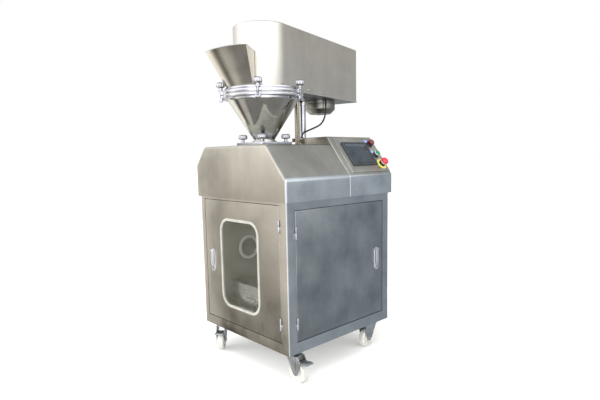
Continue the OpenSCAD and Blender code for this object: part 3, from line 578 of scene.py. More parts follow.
def make_cable():
    curve = bpy.data.curves.new("motor_lead", "CURVE")
    configure(curve, dimensions="3D", bevel_depth=CABLE_D / 2, bevel_resolution=4, resolution_u=6,
              use_fill_caps=True)
    line = curve.splines.new("BEZIER")
    line.bezier_points.add(len(CABLE_ROUTE) - 1)
    for point, place in zip(line.bezier_points, CABLE_ROUTE):
        point.co = place
        point.handle_left_type = point.handle_right_type = "AUTO"
    curve.materials.append(CABLE)
    lead = add_object("motor_lead", curve)
    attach(lead, "base")
    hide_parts("motor_cable")


make_cable()


# ---- fasteners ----
def level_ring(radius, z, sides=24):
    return [(x, y, z) for x, y in circle(radius, sides)]


def hexagon(radius, z, sides=24):
    """A ring of points on a hexagon's sides."""
    ring = []
    for k, (x, y) in enumerate(circle(radius, sides)):
        turned = (2 * math.pi * k / sides + math.pi / 6) % (math.pi / 3) - math.pi / 6
        flat = math.cos(math.pi / 6) / math.cos(turned)
        ring.append((x * flat, y * flat, z))
    return ring


def dome_screw(radius, height):
    """A domed screw head with a hexagon socket."""
    rings = []
    for k in range(6):
        a = math.pi / 2 * k / 5
        rings.append(level_ring(radius * (0.5 + 0.5 * math.cos(a)), height * math.sin(a)))
    rings += [hexagon(radius * 0.42, height * share) for share in (1, 0.35)]
    return loft(rings)


def hex_nut(radius, height, bore=0.5):
    """A nut with chamfered corners and a bolt end standing a little out of it."""
    rings = [hexagon(radius, 0), hexagon(radius, height * 0.85), hexagon(radius * 0.9, height),
             hexagon(radius * bore, height)]
    end = radius * bore * 0.9
    rings += [level_ring(end, height), level_ring(end, height * 1.25), level_ring(end * 0.8, height * 1.4)]
    return loft(rings)


def screws(name, places, radius=4, height=2.6):
    """A group of domed screws on the base, one at each place."""
    piece(name, "base", "polished", *[(dome_screw(radius, height), POLISHED, place) for place in places])


# ---- cabinet ----
def opening(x0, x1, z0, z1):
    """A door's hole through a wall, drawn as a block in the wall's own frame."""
    return block((x0 - GAP, -10, z0 - GAP), (x1 + GAP, 10, z1 + GAP), 0)


def jamb(x0, x1, z0, z1):
    """Folded return round a door opening."""
    inner = box_outline(x0 - GAP, z0 - GAP, x1 + GAP, z1 + GAP)
    outer = box_outline(x0 - GAP - PLATE, z0 - GAP - PLATE, x1 + GAP + PLATE, z1 + GAP + PLATE)
    return at(TO_FRONT, prism(outer, -24, -PLATE, [inner]))


def hinge_fixed(side):
    """Fixed half of a weld-on hinge: lower barrel with a closed foot, its leaf and the pin."""
    barrel = lathe([(0, -0.6), (2.4, -0.6, 0.5), (HINGE_R, 0.6, 0.6), (HINGE_R, HINGE_H, 0.4), (0, HINGE_H)],
                   32)
    pin = rod(2.5, 0, 2 * HINGE_H - 3, 0, 0.6, 24)
    x = min(0, side * 9)
    leaf = block((x, -3, 0), (x + 9, 0.4, HINGE_H), 0.5)
    out = move(0, -HINGE_OUT, 0)
    return [(barrel, POLISHED, out), (pin, POLISHED, out), (leaf, POLISHED, HERE)]


def hinge_moving(side):
    """Moving half of the hinge: upper barrel with a domed end and its leaf."""
    z0 = HINGE_H + 0.4
    z1 = 2 * HINGE_H
    barrel = lathe([(2.55, z0), (HINGE_R, z0, 0.4), (HINGE_R, z1 - 0.6, 0.7), (2.4, z1, 0.5), (0, z1),
                    (0, z1 - 1.2), (2.55, z1 - 1.2)], 32, closed=True)
    x = min(0, side * 9)
    leaf = block((x, 1 - HINGE_OUT, z0), (x + 9, -0.5, z1), 0.5)
    return [(barrel, POLISHED, move(0, -HINGE_OUT, 0)), (leaf, POLISHED, HERE)]


def placed(parts, place):
    return [(solid, finish, place @ here) for solid, finish, here in parts]


def cabinet():
    walls = prism(box_outline(-HALF_W, -HALF_D, HALF_W, HALF_D, 8, 4), CAB_LOW, CAB_TOP)
    inside_low = (-HALF_W + PLATE, -HALF_D + PLATE, CAB_LOW + 4)
    inside_high = (HALF_W - PLATE, HALF_D - PLATE, CAB_TOP - 8)
    panel_low, panel_high = CAB_LOW + 40, CAB_TOP - 40
    holes = [
        at(on_front(0, 0), opening(*FRONT_DOOR)), at(on_side(0, 0), opening(*SIDE_DOOR)),
        block((-HALF_W - 9, -320, panel_low), (-HALF_W + 9, 320, panel_high), 0),
        block((-302, HALF_D - 9, panel_low), (302, HALF_D + 9, panel_high), 0),
        block((-105, HOP_Y - 31, CAB_TOP - 9), (105, HOP_Y + 31, CAB_TOP + 9), 0),
        block((-280, 60, CAB_TOP - 9), (-130, 300, CAB_TOP + 9), 0)]
    shell = carved(walls, block(inside_low, inside_high, 0), *holes)
    # Painted light: front faces, right-hand faces and the rest of the shell take three tones of one sheet
    # painted per side; the lighter third tone on the rounded corners is a painted highlight.
    piece("cabinet_shell", "base", "front_sheet", (shell, facing(FRAME_FRONT, FRAME_SIDE, SATIN)),
          replaces=["cabinet_frame"])
    # Painted shade: the jambs take the dark jamb tone, standing in for the shade in the door gaps.
    piece("front_jamb", "base", "front_sheet", (jamb(*FRONT_DOOR), SHADED_JAMB), place=on_front(0, 0))
    piece("side_jamb", "base", "side_sheet", (jamb(*SIDE_DOOR), SHADED_JAMB), place=on_side(0, 0))
    pins = []
    for z in FRONT_HINGES:
        pins += placed(hinge_fixed(1), on_front(FRONT_DOOR[1] + GAP / 2, z))
    for z in SIDE_HINGES:
        pins += placed(hinge_fixed(-1), on_side(SIDE_DOOR[0] - GAP / 2, z))
    piece("hinge_pins", "base", "polished", *pins)
    stud = lathe([(0, -2), (4, -2), (4, 23, 0.8), (0, 24)], 24)
    piece("earth_stud", "base", "zinc", (stud, ZINC), (hex_nut(7.5, 5, 0.55), ZINC, move(0, 0, 2)),
          place=move(-280, HALF_D, CAB_LOW + 13) @ ALONG_Y)
    places = []
    for z in (200, 330, 480, 630, 770):
        places += [move(x, HALF_D + SHEET, z) @ ALONG_Y for x in (-308, 308)]
        places += [move(-HALF_W - SHEET, y, z) @ turn(-90, "Y") for y in (-322, 322)]
    screws("panel_screws", places, 4.5, 2.4)


def louvres():
    """Pressed hoods over the back panel's vents."""
    profile = [(-0.5, 7.5), (0.5, 9.2), (7.6, 2), (6.8, 0.8)]
    hoods = []
    for i in range(8):
        for x in (-182, 58):
            hood = prism(profile, 0, 124, edge=0.3, steps=1)
            hoods.append((hood, SIDE, move(x, HALF_D + SHEET, 620 + 16 * i) @ TO_SIDE))
    piece("louvre_hoods", "base", "side_sheet", *hoods)


# ---- doors ----
def window_outline(grow=0, steps=8):
    x0, x1, z0, z1 = WINDOW
    return box_outline(x0 - grow, z0 - grow, x1 + grow, z1 + grow, WINDOW_R + grow, steps)


def door_pan(x0, x1, z0, z1, cuts):
    """A folded door: one skin with its edges turned back, in the front's own frame."""
    pan = rounded(block((x0, 0, z0), (x1, DOOR_T, z1), 0), 2.6, 3, lambda m: m.y < DOOR_T - 1)
    inside = block((x0 + SHEET, SHEET, z0 + SHEET), (x1 - SHEET, DOOR_T + 5, z1 - SHEET), 0)
    return carved(pan, inside, *cuts)


def lock_cut(x, z):
    return block((x - 12, -5, z - 50), (x + 12, 5, z + 50), 0)


def channels(x_list, z0, z1, finish):
    """Hat-shaped stiffeners welded on a door's inside."""
    section = fillet([(-19, 0), (-19, 1.5), (-11, 1.5, 1), (-9, 9, 1), (9, 9, 1), (11, 1.5, 1), (19, 1.5),
                      (19, 0)], steps=2)
    return [(at(move(x, SHEET, z0), prism(section, 0, z1 - z0)), finish) for x in x_list]


def door_skin(side, door, cuts, hinges, hinge_x, turned, ribs, finish, place):
    """A door's pan with its hinge barrels and stiffeners."""
    knuckles = []
    for z in hinges:
        knuckles += placed(hinge_moving(turned), move(hinge_x, 0, z))
    body = side + "_door"
    piece(body + "_skin", body, side + "_sheet", (door_pan(*door, cuts), finish), *knuckles,
          *channels(*ribs, finish), replaces=[body], place=place)


def doors():
    face = on_front(0, 0)
    window = at(TO_FRONT, prism(window_outline(), -9, 9))
    # Painted light: the front door and the side door take the front and side tones of one sheet, each painted
    # for the light and reflections its side gets.
    door_skin("front", FRONT_DOOR, [window, lock_cut(*FRONT_LOCK)], FRONT_HINGES, FRONT_DOOR[1] + GAP / 2, -1,
              ([-275, 225], 205, 803), FRONT, face)
    door_skin("side", SIDE_DOOR, [lock_cut(*SIDE_LOCK)], SIDE_HINGES, SIDE_DOOR[0] - GAP / 2, 1,
              ([-210, 0, 190], 210, 778), SIDE, on_side(0, 0))
    pane = prism(window_outline(-5.05), -4, 1, edge=0.6)
    piece("window_sheet", "front_door", "pane", (pane, PANE), replaces=["window_pane"], place=face @ TO_FRONT)
    rubber = fillet([(-5, 4, 1.6), (8.5, 4, 2.6), (8.5, 0.05, 0.4), (0, 0.05), (0, -2), (6.5, -2.05, 0.4),
                     (6.5, -6, 2), (-5, -6, 1)], steps=4)
    piece("window_rim", "front_door", "rim_rubber", (edging(window_outline(0, 10), rubber), RIM),
          replaces=["window_gasket"], place=face @ TO_FRONT)
    rail = block((-95, 7, WINDOW[2] - 4), (76, 16, WINDOW[2] + 7), 2)
    piece("window_rail", "front_door", "front_sheet", (rail, FRONT), place=face)


def lock():
    """Face plate with bevelled ends, the box behind it, the pivot ears and the key cylinder."""
    w, h, cut = 16.5, 58.5, 9
    ends = fillet([(-w + cut, -h, 2), (w - cut, -h, 2), (w, -h + cut, 2), (w, h - cut, 2), (w - cut, h, 2),
                   (-w + cut, h, 2), (-w, h - cut, 2), (-w, -h + cut, 2)], steps=3)
    parts = [(prism(ends, 0, 4, edge=1.1, steps=3), LOCK_SKIN, TO_FRONT),
             (block((-11.5, -1, -49), (11.5, DOOR_T - 3, 49), 1), ZINC)]
    lug = fillet([(-3, 43), (-3, 53), (-12, 53, 4), (-12, 43, 4)], steps=3)
    parts += [(prism(lug, 0, 3, edge=0.4), SATIN, move(x, 0, 0) @ TO_SIDE) for x in (-15, 12)]
    barrel = lathe([(2.6, 1.4), (2.6, 3.1), (6.6, 3.1, 0.7), (8, 1.6, 0.7), (8, 0), (0, 0), (0, 1.4)], 40)
    key = move(0, -4, -38) @ TO_FRONT
    slit = block((-0.9, -6.6, -41.5), (0.9, -5.0, -34.5), 0.2, 1)
    return parts + [(barrel, POLISHED, key), (slit, BLACK), (rod(3.3, 0.4, 1.7, 0, 0.2, 24), BLACK, key)]


def lever():
    """Flush lever that turns about its upper end, with a finger lip at the lower one."""
    grip = fillet([(-6.5, -24), (-6.5, 48), (-11, 48, 3), (-11, -17, 2), (-9.4, -24, 1.5)], steps=3)
    pivot = move(0, -8.5, 48) @ turn(90, "Y")
    return [(prism(grip, -10, 10, edge=0.8, steps=3), LOCK_SKIN, TO_SIDE),
            (rod(4, -11.5, 11.5, 0.6, 0.6, 28), LOCK_SKIN, pivot),
            (rod(2, -15, 15, 0.4, 0.4, 20), POLISHED, pivot)]


def locks():
    for side, spot, wall in (("front", FRONT_LOCK, on_front), ("side", SIDE_LOCK, on_side)):
        place = wall(*spot)
        piece(side + "_lock_plate", side + "_door", "satin", *lock(), replaces=[side + "_lock"], place=place)
        piece(side + "_lock_lever", side + "_lever", "satin", *lever(), replaces=[side + "_lever"],
              place=place)


cabinet()
louvres()
doors()
locks()


# ---- hood ----
def inset(points, depth):
    """A counter-clockwise outline moved inward."""
    out = []
    for i, p in enumerate(points):
        here = Vector(p)
        before = (here - Vector(points[i - 1])).normalized()
        after = (Vector(points[(i + 1) % len(points)]) - here).normalized()
        normal_a, normal_b = Vector((-before.y, before.x)), Vector((-after.y, after.x))
        shift = (normal_a + normal_b) / (1 + normal_a.dot(normal_b))
        out.append(tuple(here + shift * depth))
    return out


def along_y(section, y0, y1):
    return at(move(0, y1, 0) @ TO_FRONT, prism(section, 0, y1 - y0))


def hood_shell(name, section, ends, inner_ends, radius, where, cuts):
    """Folded hood: its outer bends and the matching inner ones, open below."""
    outer = rounded(along_y(section, *ends), radius, 5, where)
    inner = rounded(along_y(inset(section, PLATE), *inner_ends), radius - PLATE, 3, where)
    # Painted light: the front, the right-hand band and the slopes and bends take tones of one sheet painted
    # per side; the lighter tone on the bends is a painted highlight.
    piece(name + "_skin", "base", "hood_sheet", (carved(outer, inner, *cuts), facing(FRONT, SIDE_BAND, HOOD)),
          replaces=[name])


def stem_holes(sides):
    """Outlines of the holes for the buttons' stems, in the control plate's own frame."""
    return [circle(STEM_HOLE, sides, s, BUTTON_Y) for s in (STOP_S, START_S, ESTOP_S)]


def below(y0, y1):
    """The hood's open underside between two depths."""
    side = HALF_W - 14
    return block((-side, y0, CAB_TOP - 5), (side, y1, CAB_TOP + PLATE + 1), 0)


def hoods():
    fold = CAB_TOP + 8
    hopper = at(move(0, HOP_Y, HOOD_TOP - 20), prism(circle(BARREL_R + 11), 0, 40))
    hood_shell("front_hood", FRONT_SECTION, (HOOD_Y0, BAY_Y), (HOOD_Y0 + PLATE, BAY_Y + PLATE), 12,
               lambda m: m.z > fold and m.y < BAY_Y - 1, [hopper, below(-HALF_D + 14, BAY_Y + 5)])
    through = at(move(0, BAY_Y + 5, 0), along_y(inset(FRONT_SECTION, PLATE), -20, 5))
    s0, y0, s1, y1 = DISPLAY
    screen = at(ON_SLOPE, block((s0, y0, -15), (s1, y1, 15), 0))
    stems = [at(ON_SLOPE, prism(hole, -15, 15)) for hole in stem_holes(48)]
    post = at(ARM @ move(0, COLUMN_AT, HOOD_TOP), prism(circle(COLUMN_R + 1), -15, 15))
    gland = at(move(0, LEAD_BAY_Y, BAY_TOP), prism(circle(6, 24), -15, 15))
    hood_shell("rear_hood", REAR_SECTION, (BAY_Y, HOOD_Y1), (BAY_Y + PLATE, HOOD_Y1 - PLATE), 5,
               lambda m: m.z > fold, [through, screen, *stems, post, gland, below(BAY_Y - 5, HALF_D - 14)])
    ring = lathe([(COLUMN_R + 0.5, 0), (COLUMN_R + 12, 0), (COLUMN_R + 12, 4, 1), (COLUMN_R + 3, 7, 2),
                  (COLUMN_R + 0.5, 7)], 48, closed=True)
    piece("column_shroud", "base", "polished", (ring, POLISHED), place=ARM @ move(0, COLUMN_AT, HOOD_TOP))
    screws("hood_screws", [move(x, HOOD_Y1, 850) @ ALONG_Y for x in (-320, -160, 0, 160, 320)], 4.5, 2.4)


hoods()


# ---- control plate ----
def controls():
    s0, s1, y0, y1 = CONTROL
    face = CONTROL_T
    display = box_outline(*DISPLAY, 1, 2)
    plate = prism(box_outline(s0, y0, s1, y1, 4, 4), 0, face, [display, *stem_holes(32)], edge=1.1, steps=3)
    piece("control_face", "base", "hood_sheet", (plate, HOOD), replaces=["control_plate"], place=ON_SLOPE)
    places = [ON_SLOPE @ move(s, y, face) for s in (s0 + 8.5, s1 - 5.5) for y in (y0 + 6, y1 - 6)]
    screws("control_screws", places, 4.2, 2.4)
    frame_hole = box_outline(54, 120, 174, 280, 1, 2)
    outer = prism(box_outline(41, 106, 185, 294, 4), face, face + 6, [frame_hole], edge=1.2, steps=3)
    lip = prism(box_outline(50.5, 116.5, 177.5, 283.5, 2, 2), face + 5.6, face + 6.6,
                [box_outline(53, 119, 175, 281, 1, 2)], edge=0.3, steps=1)
    case = block((48.5, 116.5, -34), (177.5, 283.5, face + 2), 1.5)
    glass = block((54, 120, face + 2), (174, 280, face + 5), 0.3)
    head = block((54.6, 120.6, face + 4.9), (66, 279.4, face + 5.1), 0.05, 1)
    piece("touch_screen", "base", "panel_plastic", (outer, PANEL), (lip, BLACK), (case, BLACK),
          (glass, SCREEN), (head, SCREEN_HEAD), replaces=["touch_panel"], place=ON_SLOPE)
    parts = []
    for s, height in ((STOP_S, 7), (START_S, 7), (ESTOP_S, 11)):
        collar = fluted([(STEM_BORE, 0), (18, 0), (18, height - 0.5, 1.5), (15.5, height, 0.5),
                         (STEM_BORE, height)], 24, 0.5, 96)
        place = move(s, BUTTON_Y, face)
        parts += [(collar, BLACK, place), (sleeve(STEM_BORE, 11.5, -30, 0.5, 0.6, 0, 40), BLACK, place)]
    parts.append((sleeve(18.2, 30, 0, 2, 0, 0.8, 72), YELLOW, move(ESTOP_S, BUTTON_Y, face)))
    label = box_outline(-26, 296, -10, 320, 7, 5)
    for s in (STOP_S, START_S):
        parts.append((prism(label, face, face + 0.8, edge=0.3, steps=1), LILAC, move(s, 0, 0)))
    piece("switch_collars", "base", "black_plastic", *parts, replaces=["button_collars"], place=ON_SLOPE)


def button(name, node, slot, s, *parts):
    piece(name, node, slot, *parts, replaces=[node], place=ON_SLOPE @ move(s, BUTTON_Y, CONTROL_T))


def stemmed(profile, steps=4):
    """A button's solid on its stem."""
    return lathe([(0, -20), (STEM_R, -20, 0.6), *profile], 56, steps=steps)


def buttons():
    dome = stemmed([(STEM_R, 11), (15, 11, 0.5), (16.5, 12.5), (16.5, 22, 6), (9, 27.4, 7), (0, 28)], 6)
    core = stemmed([(STEM_R, 11), (15, 11, 0.4), (16, 12), (16, 14.6, 0.6), (0, 14.6)])
    neck = stemmed([(STEM_R, 16.4), (16.5, 16.4, 0.4), (19, 22), (0, 22)])
    lens = lathe([(0, 14.6), (15.2, 14.6), (15.2, 19.5, 3), (0, 20.2)], 56, steps=6)
    head = lathe([(0, 21), (18, 21), (19.4, 22, 0.4), (20, 24, 1), (19.6, 31, 5), (12, 38, 8), (0, 40)],
                 64, steps=6)
    button("stop_cap", "stop_button", "dark_red_cap", STOP_S, (dome, DARK_RED))
    button("start_cap", "start_button", "green_cap", START_S, (core, WHITE), (lens, GREEN))
    button("emergency_stop", "estop_button", "red_cap", ESTOP_S, (neck, WHITE), (head, RED))


controls()
buttons()


# ---- hopper ----
def knob(cap_r, cap_h, hub_r, hub_h, place):
    """Hand knob: a necked hub and a fluted cap with a turned face."""
    hub = lathe([(0, 0), (hub_r, 0), (hub_r, 2.5, 0.8), (hub_r - 2.5, 5, 1), (hub_r - 2.5, hub_h - 3, 1.5),
                 (hub_r + 1, hub_h, 0.6), (0, hub_h)], 40)
    top = hub_h + cap_h
    cap = fluted([(0.5, hub_h), (cap_r - 5, hub_h, 0.8), (cap_r, hub_h + 4, 2), (cap_r, top - 6, 3),
                  (cap_r - 5, top, 1.5), (cap_r - 9, top, 0.5), (cap_r - 10, top - 1.2), (0.5, top - 1.2)],
                 12, 2.2, 96)
    return [(hub, POLISHED, place), (cap, POLISHED, place)]


def hopper_foot():
    bore = circle(BARREL_R + 0.2, 64)
    plate = prism(box_outline(-100, -100, 100, 100, 10, 5), HOOD_TOP, NECK_Z, [bore], 1.6, 3)
    barrel = sleeve(BARREL_R, BARREL_R + 9, 1000, HOOD_TOP + 1, 1, 0, 64)
    liner = sleeve(BARREL_R, BARREL_R + 0.4, HOOD_TOP + 0.6, NECK_Z, sides=64)
    piece("hopper_foot", "base", "polished", (plate, POLISHED), (barrel, SATIN), (liner, POLISHED),
          replaces=["hopper_base"], place=HOPPER)
    parts = []
    for x in (-75, 75):
        for y in (-75, 75):
            seat = move(x, y, NECK_Z)
            parts += [(rod(14, 0, 1.8, 0, 0.5, 40), POLISHED, seat), *knob(22, 22, 10, 16, seat)]
    piece("foot_knobs", "base", "polished", *parts, replaces=["hopper_knobs"], place=HOPPER)


def ear(angle, z0, z1):
    """Slotted ear that a swing bolt pulls on, joined to a flange."""
    reach, slot, root = CLAMP_R + 2, 5.5, RING_R - 12
    end = -CLAMP_R + slot
    shape = fillet([(-15, -root), (-15, -reach, 3), (-slot, -reach, 1), (-slot, end, slot - 0.1),
                    (slot, end, slot - 0.1), (slot, -reach, 1), (15, -reach, 3), (15, -root)], steps=4)
    return prism(shape, z0 + 0.15, z1 - 0.15, edge=0.8), POLISHED, turn(angle, "Z")


def cone_zone(face):
    """Polished flanges and a mirror between them."""
    middle = face.calc_center_median().z * 1000
    return MIRROR if CONE_Z0 - 4 < middle < CONE_Z1 + 3 else POLISHED


def cone():
    inner, outer, top = BARREL_R, BARREL_R + 11, RING_Z + FLANGE_T
    wall = 3.6
    profile = [(inner, NECK_Z), (outer, NECK_Z), (outer, NECK_Z + 8, 1.2), (inner + wall, NECK_Z + 8, 1),
               (inner + wall, CONE_Z0, 6), (CONE_R, CONE_Z1, 14), (CONE_R, RING_Z, 1.5),
               (RING_R, RING_Z, 1.2), (RING_R, top, 1.2), (CONE_R - wall, top, 0.6),
               (CONE_R - wall, CONE_Z1, 12), (inner, CONE_Z0, 5)]
    parts = [(lathe(profile, 128, closed=True), cone_zone)]
    cheek = fillet([(-CLAMP_R - 7, CLAMP_Z - 7, 6), (-RING_R + 4, CLAMP_Z - 7, 2), (-RING_R + 4, RING_Z + 1),
                    (-CLAMP_R - 7, RING_Z + 1)], steps=4)
    for angle in CLAMPS:
        here = turn(angle, "Z")
        parts.append(ear(angle, RING_Z, top))
        parts += [(prism(cheek, 0, 5, edge=0.7), POLISHED, here @ move(x, 0, 0) @ TO_SIDE) for x in (-11, 6)]
        pin = here @ move(-11, -CLAMP_R, CLAMP_Z) @ turn(90, "Y")
        parts.append((rod(3, -2.5, 24.5, 0.5, 0.5, 24), POLISHED, pin))
    piece("cone_shell", "base", "mirror_cone", *parts, replaces=["hopper_cone"], place=HOPPER)


def arc(radius, a0, a1, steps):
    """Points on a circle about the axis, by angles measured from straight ahead."""
    angles = [math.radians(a0 + (a1 - a0) * k / steps) for k in range(steps + 1)]
    return [(radius * math.sin(a), -radius * math.cos(a)) for a in angles]


def sector(inner, outer, a0, a1, steps=24):
    """Outline between two arcs about the axis."""
    return arc(outer, a0, a1, steps) + arc(inner, a1, a0, steps)


def lid():
    a0, a1 = FUNNEL
    throat = sector(ARM_R + 7, CONE_R - 5, a0 + 2, a1 - 2)
    disc = prism(circle(RING_R, 128), LID_Z, LID_TOP, [circle(FEED_HOLE, 64), throat], 2, 3)
    # the lip stops short of the arm, which covers the lid's rear
    half = math.degrees(math.asin((ARM_R + AIR) / LIP_R))
    rim = arc(LIP_R, ARM_TURN - 180 + half, ARM_TURN + 180 - half, 96)
    nose = arc(ARM_R + AIR, ARM_TURN + 90, ARM_TURN - 90, 64)
    lip = prism(rim + nose, LID_TOP - 0.5, LIP_TOP, [throat], 1.6, 3)
    ears = [ear(angle, LID_Z, LID_TOP) for angle in CLAMPS]
    piece("lid_disc", "base", "polished", (disc, POLISHED), (lip, POLISHED), *ears,
          replaces=["hopper_lid"], place=HOPPER)
    low, inside, outside = RING_Z + FLANGE_T, CONE_R + 2, RING_R - 4
    seal = lathe([(inside, low), (outside, low), (outside + 0.8, low + 2, 1.5), (outside, LID_Z),
                  (inside, LID_Z)], 128, closed=True)
    piece("lid_seal", "base", "white_rubber", (seal, WHITE_RUBBER), replaces=["lid_gasket"], place=HOPPER)


def funnel():
    """Feed funnel: curved outer and inner walls, flat ends and a rolled rim."""
    a0, a1 = FUNNEL
    inner, top, steps = ARM_R + AIR, FUNNEL_TOP, 28
    levels = [(LIP_TOP, FUNNEL_R0), (top - 0.6, FUNNEL_R1 - 0.35), (top, FUNNEL_R1)]
    end = math.degrees(WALL / 200)
    outside = [[(x, y, z) for x, y in sector(inner, r, a0, a1, steps)] for z, r in levels]
    inside = [[(x, y, z) for x, y in sector(inner + WALL, r - WALL, a0 + end, a1 - end, steps)]
              for z, r in reversed(levels)]
    rim = [(x, y, top - 1.4) for x, y in sector(inner, FUNNEL_R1, a0, a1, steps)]
    piece("funnel_shell", "base", "satin", (loft(outside + inside, loop=True), FUNNEL_SKIN),
          (tube([*rim, rim[0]], 2.2, 10), SATIN), replaces=["feed_funnel"], place=HOPPER)


def clamp(name, angle):
    """Swing bolt: an eye on its pin, a threaded shank, a washer and a hand knob."""
    seat = LID_TOP + 0.5
    parts = [(sleeve(3.05, 8, 0, 11, 1.2, 1.2, 40), POLISHED, move(-5.5, 0, CLAMP_Z) @ turn(90, "Y")),
             (rod(4, CLAMP_Z + 5, LID_TOP + 6, sides=28), POLISHED)]
    for i in range(8):
        thread = lathe([(4, 0), (4.35, 0.5), (4, 1.0), (3.6, 0.5)], 24, closed=True)
        parts.append((thread, POLISHED, move(0, 0, RING_Z + FLANGE_T - 6 + 1.5 * i)))
    parts.append((sleeve(4.2, 13, 0, 2, 0, 0.5, 40), POLISHED, move(0, 0, seat)))
    parts += knob(21, 24, 12, 16.5, move(0, 0, seat + 1.5))
    piece("swing_" + name, name, "polished", *parts, replaces=[name],
          place=HOPPER @ turn(angle, "Z") @ move(0, -CLAMP_R, 0))


def stay():
    bar = block((-1, 12, HOOD_TOP + 6), (23, 26, RING_Z + FLANGE_T), 1.6, 3)
    foot = block((-14, 4, HOOD_TOP), (36, 34, HOOD_TOP + 6.5), 1.2, 3)
    bridge = block((-1, HOP_Y + RING_R + 0.1, RING_Z), (23, 14, RING_Z + FLANGE_T), 1.2, 3)
    sensor = block((-24, 12.5, HOOD_TOP + 20), (-1.2, 26, HOOD_TOP + 38), 2, 3)
    eye = (rod(5, 0, 1.5, 0.8, 0.6), DARK_RED, move(-13, 12.6, HOOD_TOP + 29) @ TO_FRONT)
    bolts = [(dome_screw(3.6, 2.4), POLISHED, move(x, 19, HOOD_TOP + 6.5)) for x in (-8, 30)]
    bolts.append((dome_screw(4.5, 3), POLISHED, move(11, 10, RING_Z + FLANGE_T)))
    piece("stay_bar", "base", "front_sheet", (bar, STAY), (foot, STAY), (bridge, POLISHED), (sensor, BLACK),
          eye, *bolts, replaces=["hopper_stay"])


hopper_foot()
cone()
lid()
funnel()
for corner, clamp_angle in zip(("front_right", "front_left", "rear_right", "rear_left"), CLAMPS):
    clamp("clamp_" + corner, clamp_angle)
stay()


# ---- arm ----
def arm_shape(radius, length, steps=40):
    """Round nose towards the front, square end behind."""
    nose = [(-radius * math.cos(math.pi * k / steps), -radius * math.sin(math.pi * k / steps))
            for k in range(steps + 1)]
    return nose + [(radius, length), (-radius, length)]


def arm():
    outer = rounded(prism(arm_shape(ARM_R, ARM_L), ARM_Z0 + 6, ARM_Z1), 5, 4,
                    lambda m: m.z > ARM_Z0 + 20, angle=40)
    inner = prism(arm_shape(ARM_R - WALL, ARM_L - WALL), ARM_Z0, ARM_Z1 - WALL)
    piece("arm_hood", "base", "arm_sheet", (carved(outer, inner), ARM_SKIN), replaces=["arm_cover"],
          place=ARM)
    holes = [circle(FEED_HOLE), circle(15, 32, 0, MOTOR_AT)]
    flange = prism(arm_shape(ARM_R + 2, ARM_L + 2), ARM_Z0, ARM_Z0 + 6, holes, edge=1, steps=2)
    piece("arm_floor", "base", "arm_sheet",
          # Painted shade: the flange's downward faces take the dark steel tone as shade under the arm.
          (flange, lambda face: DARK_STEEL_AND_SHADE if face.normal.z < -0.8 else FLANGE),
          replaces=["arm_base"], place=ARM)
    level = ARM_Z0 + 19
    places = [move(side * ARM_R, 65 + 137 * i, level) @ turn(side * 90, "Y")
              for side in (1, -1) for i in range(3)]
    places += [move(x, ARM_L, level) @ ALONG_Y for x in (-90, 0, 90)]
    screws("arm_screws", [ARM @ place for place in places], 6.5, 4)


def motor():
    low, r, groove = MOTOR_Z0, MOTOR_R, ARM_Z0 - 14
    can = lathe([(0, low), (r - 25, low, 10), (r, low + 25, 8), (r, groove - 3, 1), (r - 2, groove - 2, 0.5),
                 (r - 2, groove + 2, 0.5), (r, groove + 3, 1), (r, ARM_Z0), (0, ARM_Z0)], 96, steps=6)
    bolts = [(dome_screw(4, 2.6), POLISHED, turn(90 * i + 45, "Z") @ move(46, 0, low) @ turn(180, "X"))
             for i in range(4)]
    cap = lathe([(0, -3), (22, -3, 1.5), (24, 0.2), (0, 0.2)], 48)
    piece("motor_can", "base", "satin", (can, MOTOR_SKIN), *bolts, (cap, MOTOR_SKIN, move(0, 0, low)),
          replaces=["feed_motor"], place=ARM @ move(0, MOTOR_AT, 0))


def column():
    r, neck, foot = COLUMN_R, ARM_Z0 - 40, CAB_TOP + 12
    groove = ARM_Z0 - 11
    post = lathe([(0, CAB_TOP), (38, CAB_TOP), (38, foot, 1.5), (r, foot, 2), (r, neck), (0, neck)], 64)
    collar = lathe([(0, neck), (r + 5, neck, 1.5), (r + 5, groove - 2, 1), (r + 4, groove - 1, 0.5),
                    (r + 4, groove + 1, 0.5), (r + 5, groove + 2, 1), (r + 5, ARM_Z0), (0, ARM_Z0)], 64)
    grub = [(dome_screw(4, 2.2), POLISHED, turn(a, "Z") @ move(r + 4.6, 0, ARM_Z0 - 26) @ turn(90, "Y"))
            for a in (-60, 120)]
    piece("column_post", "base", "polished", (post, POLISHED), (collar, POLISHED), *grub,
          replaces=["column"], place=ARM @ move(0, COLUMN_AT, 0))


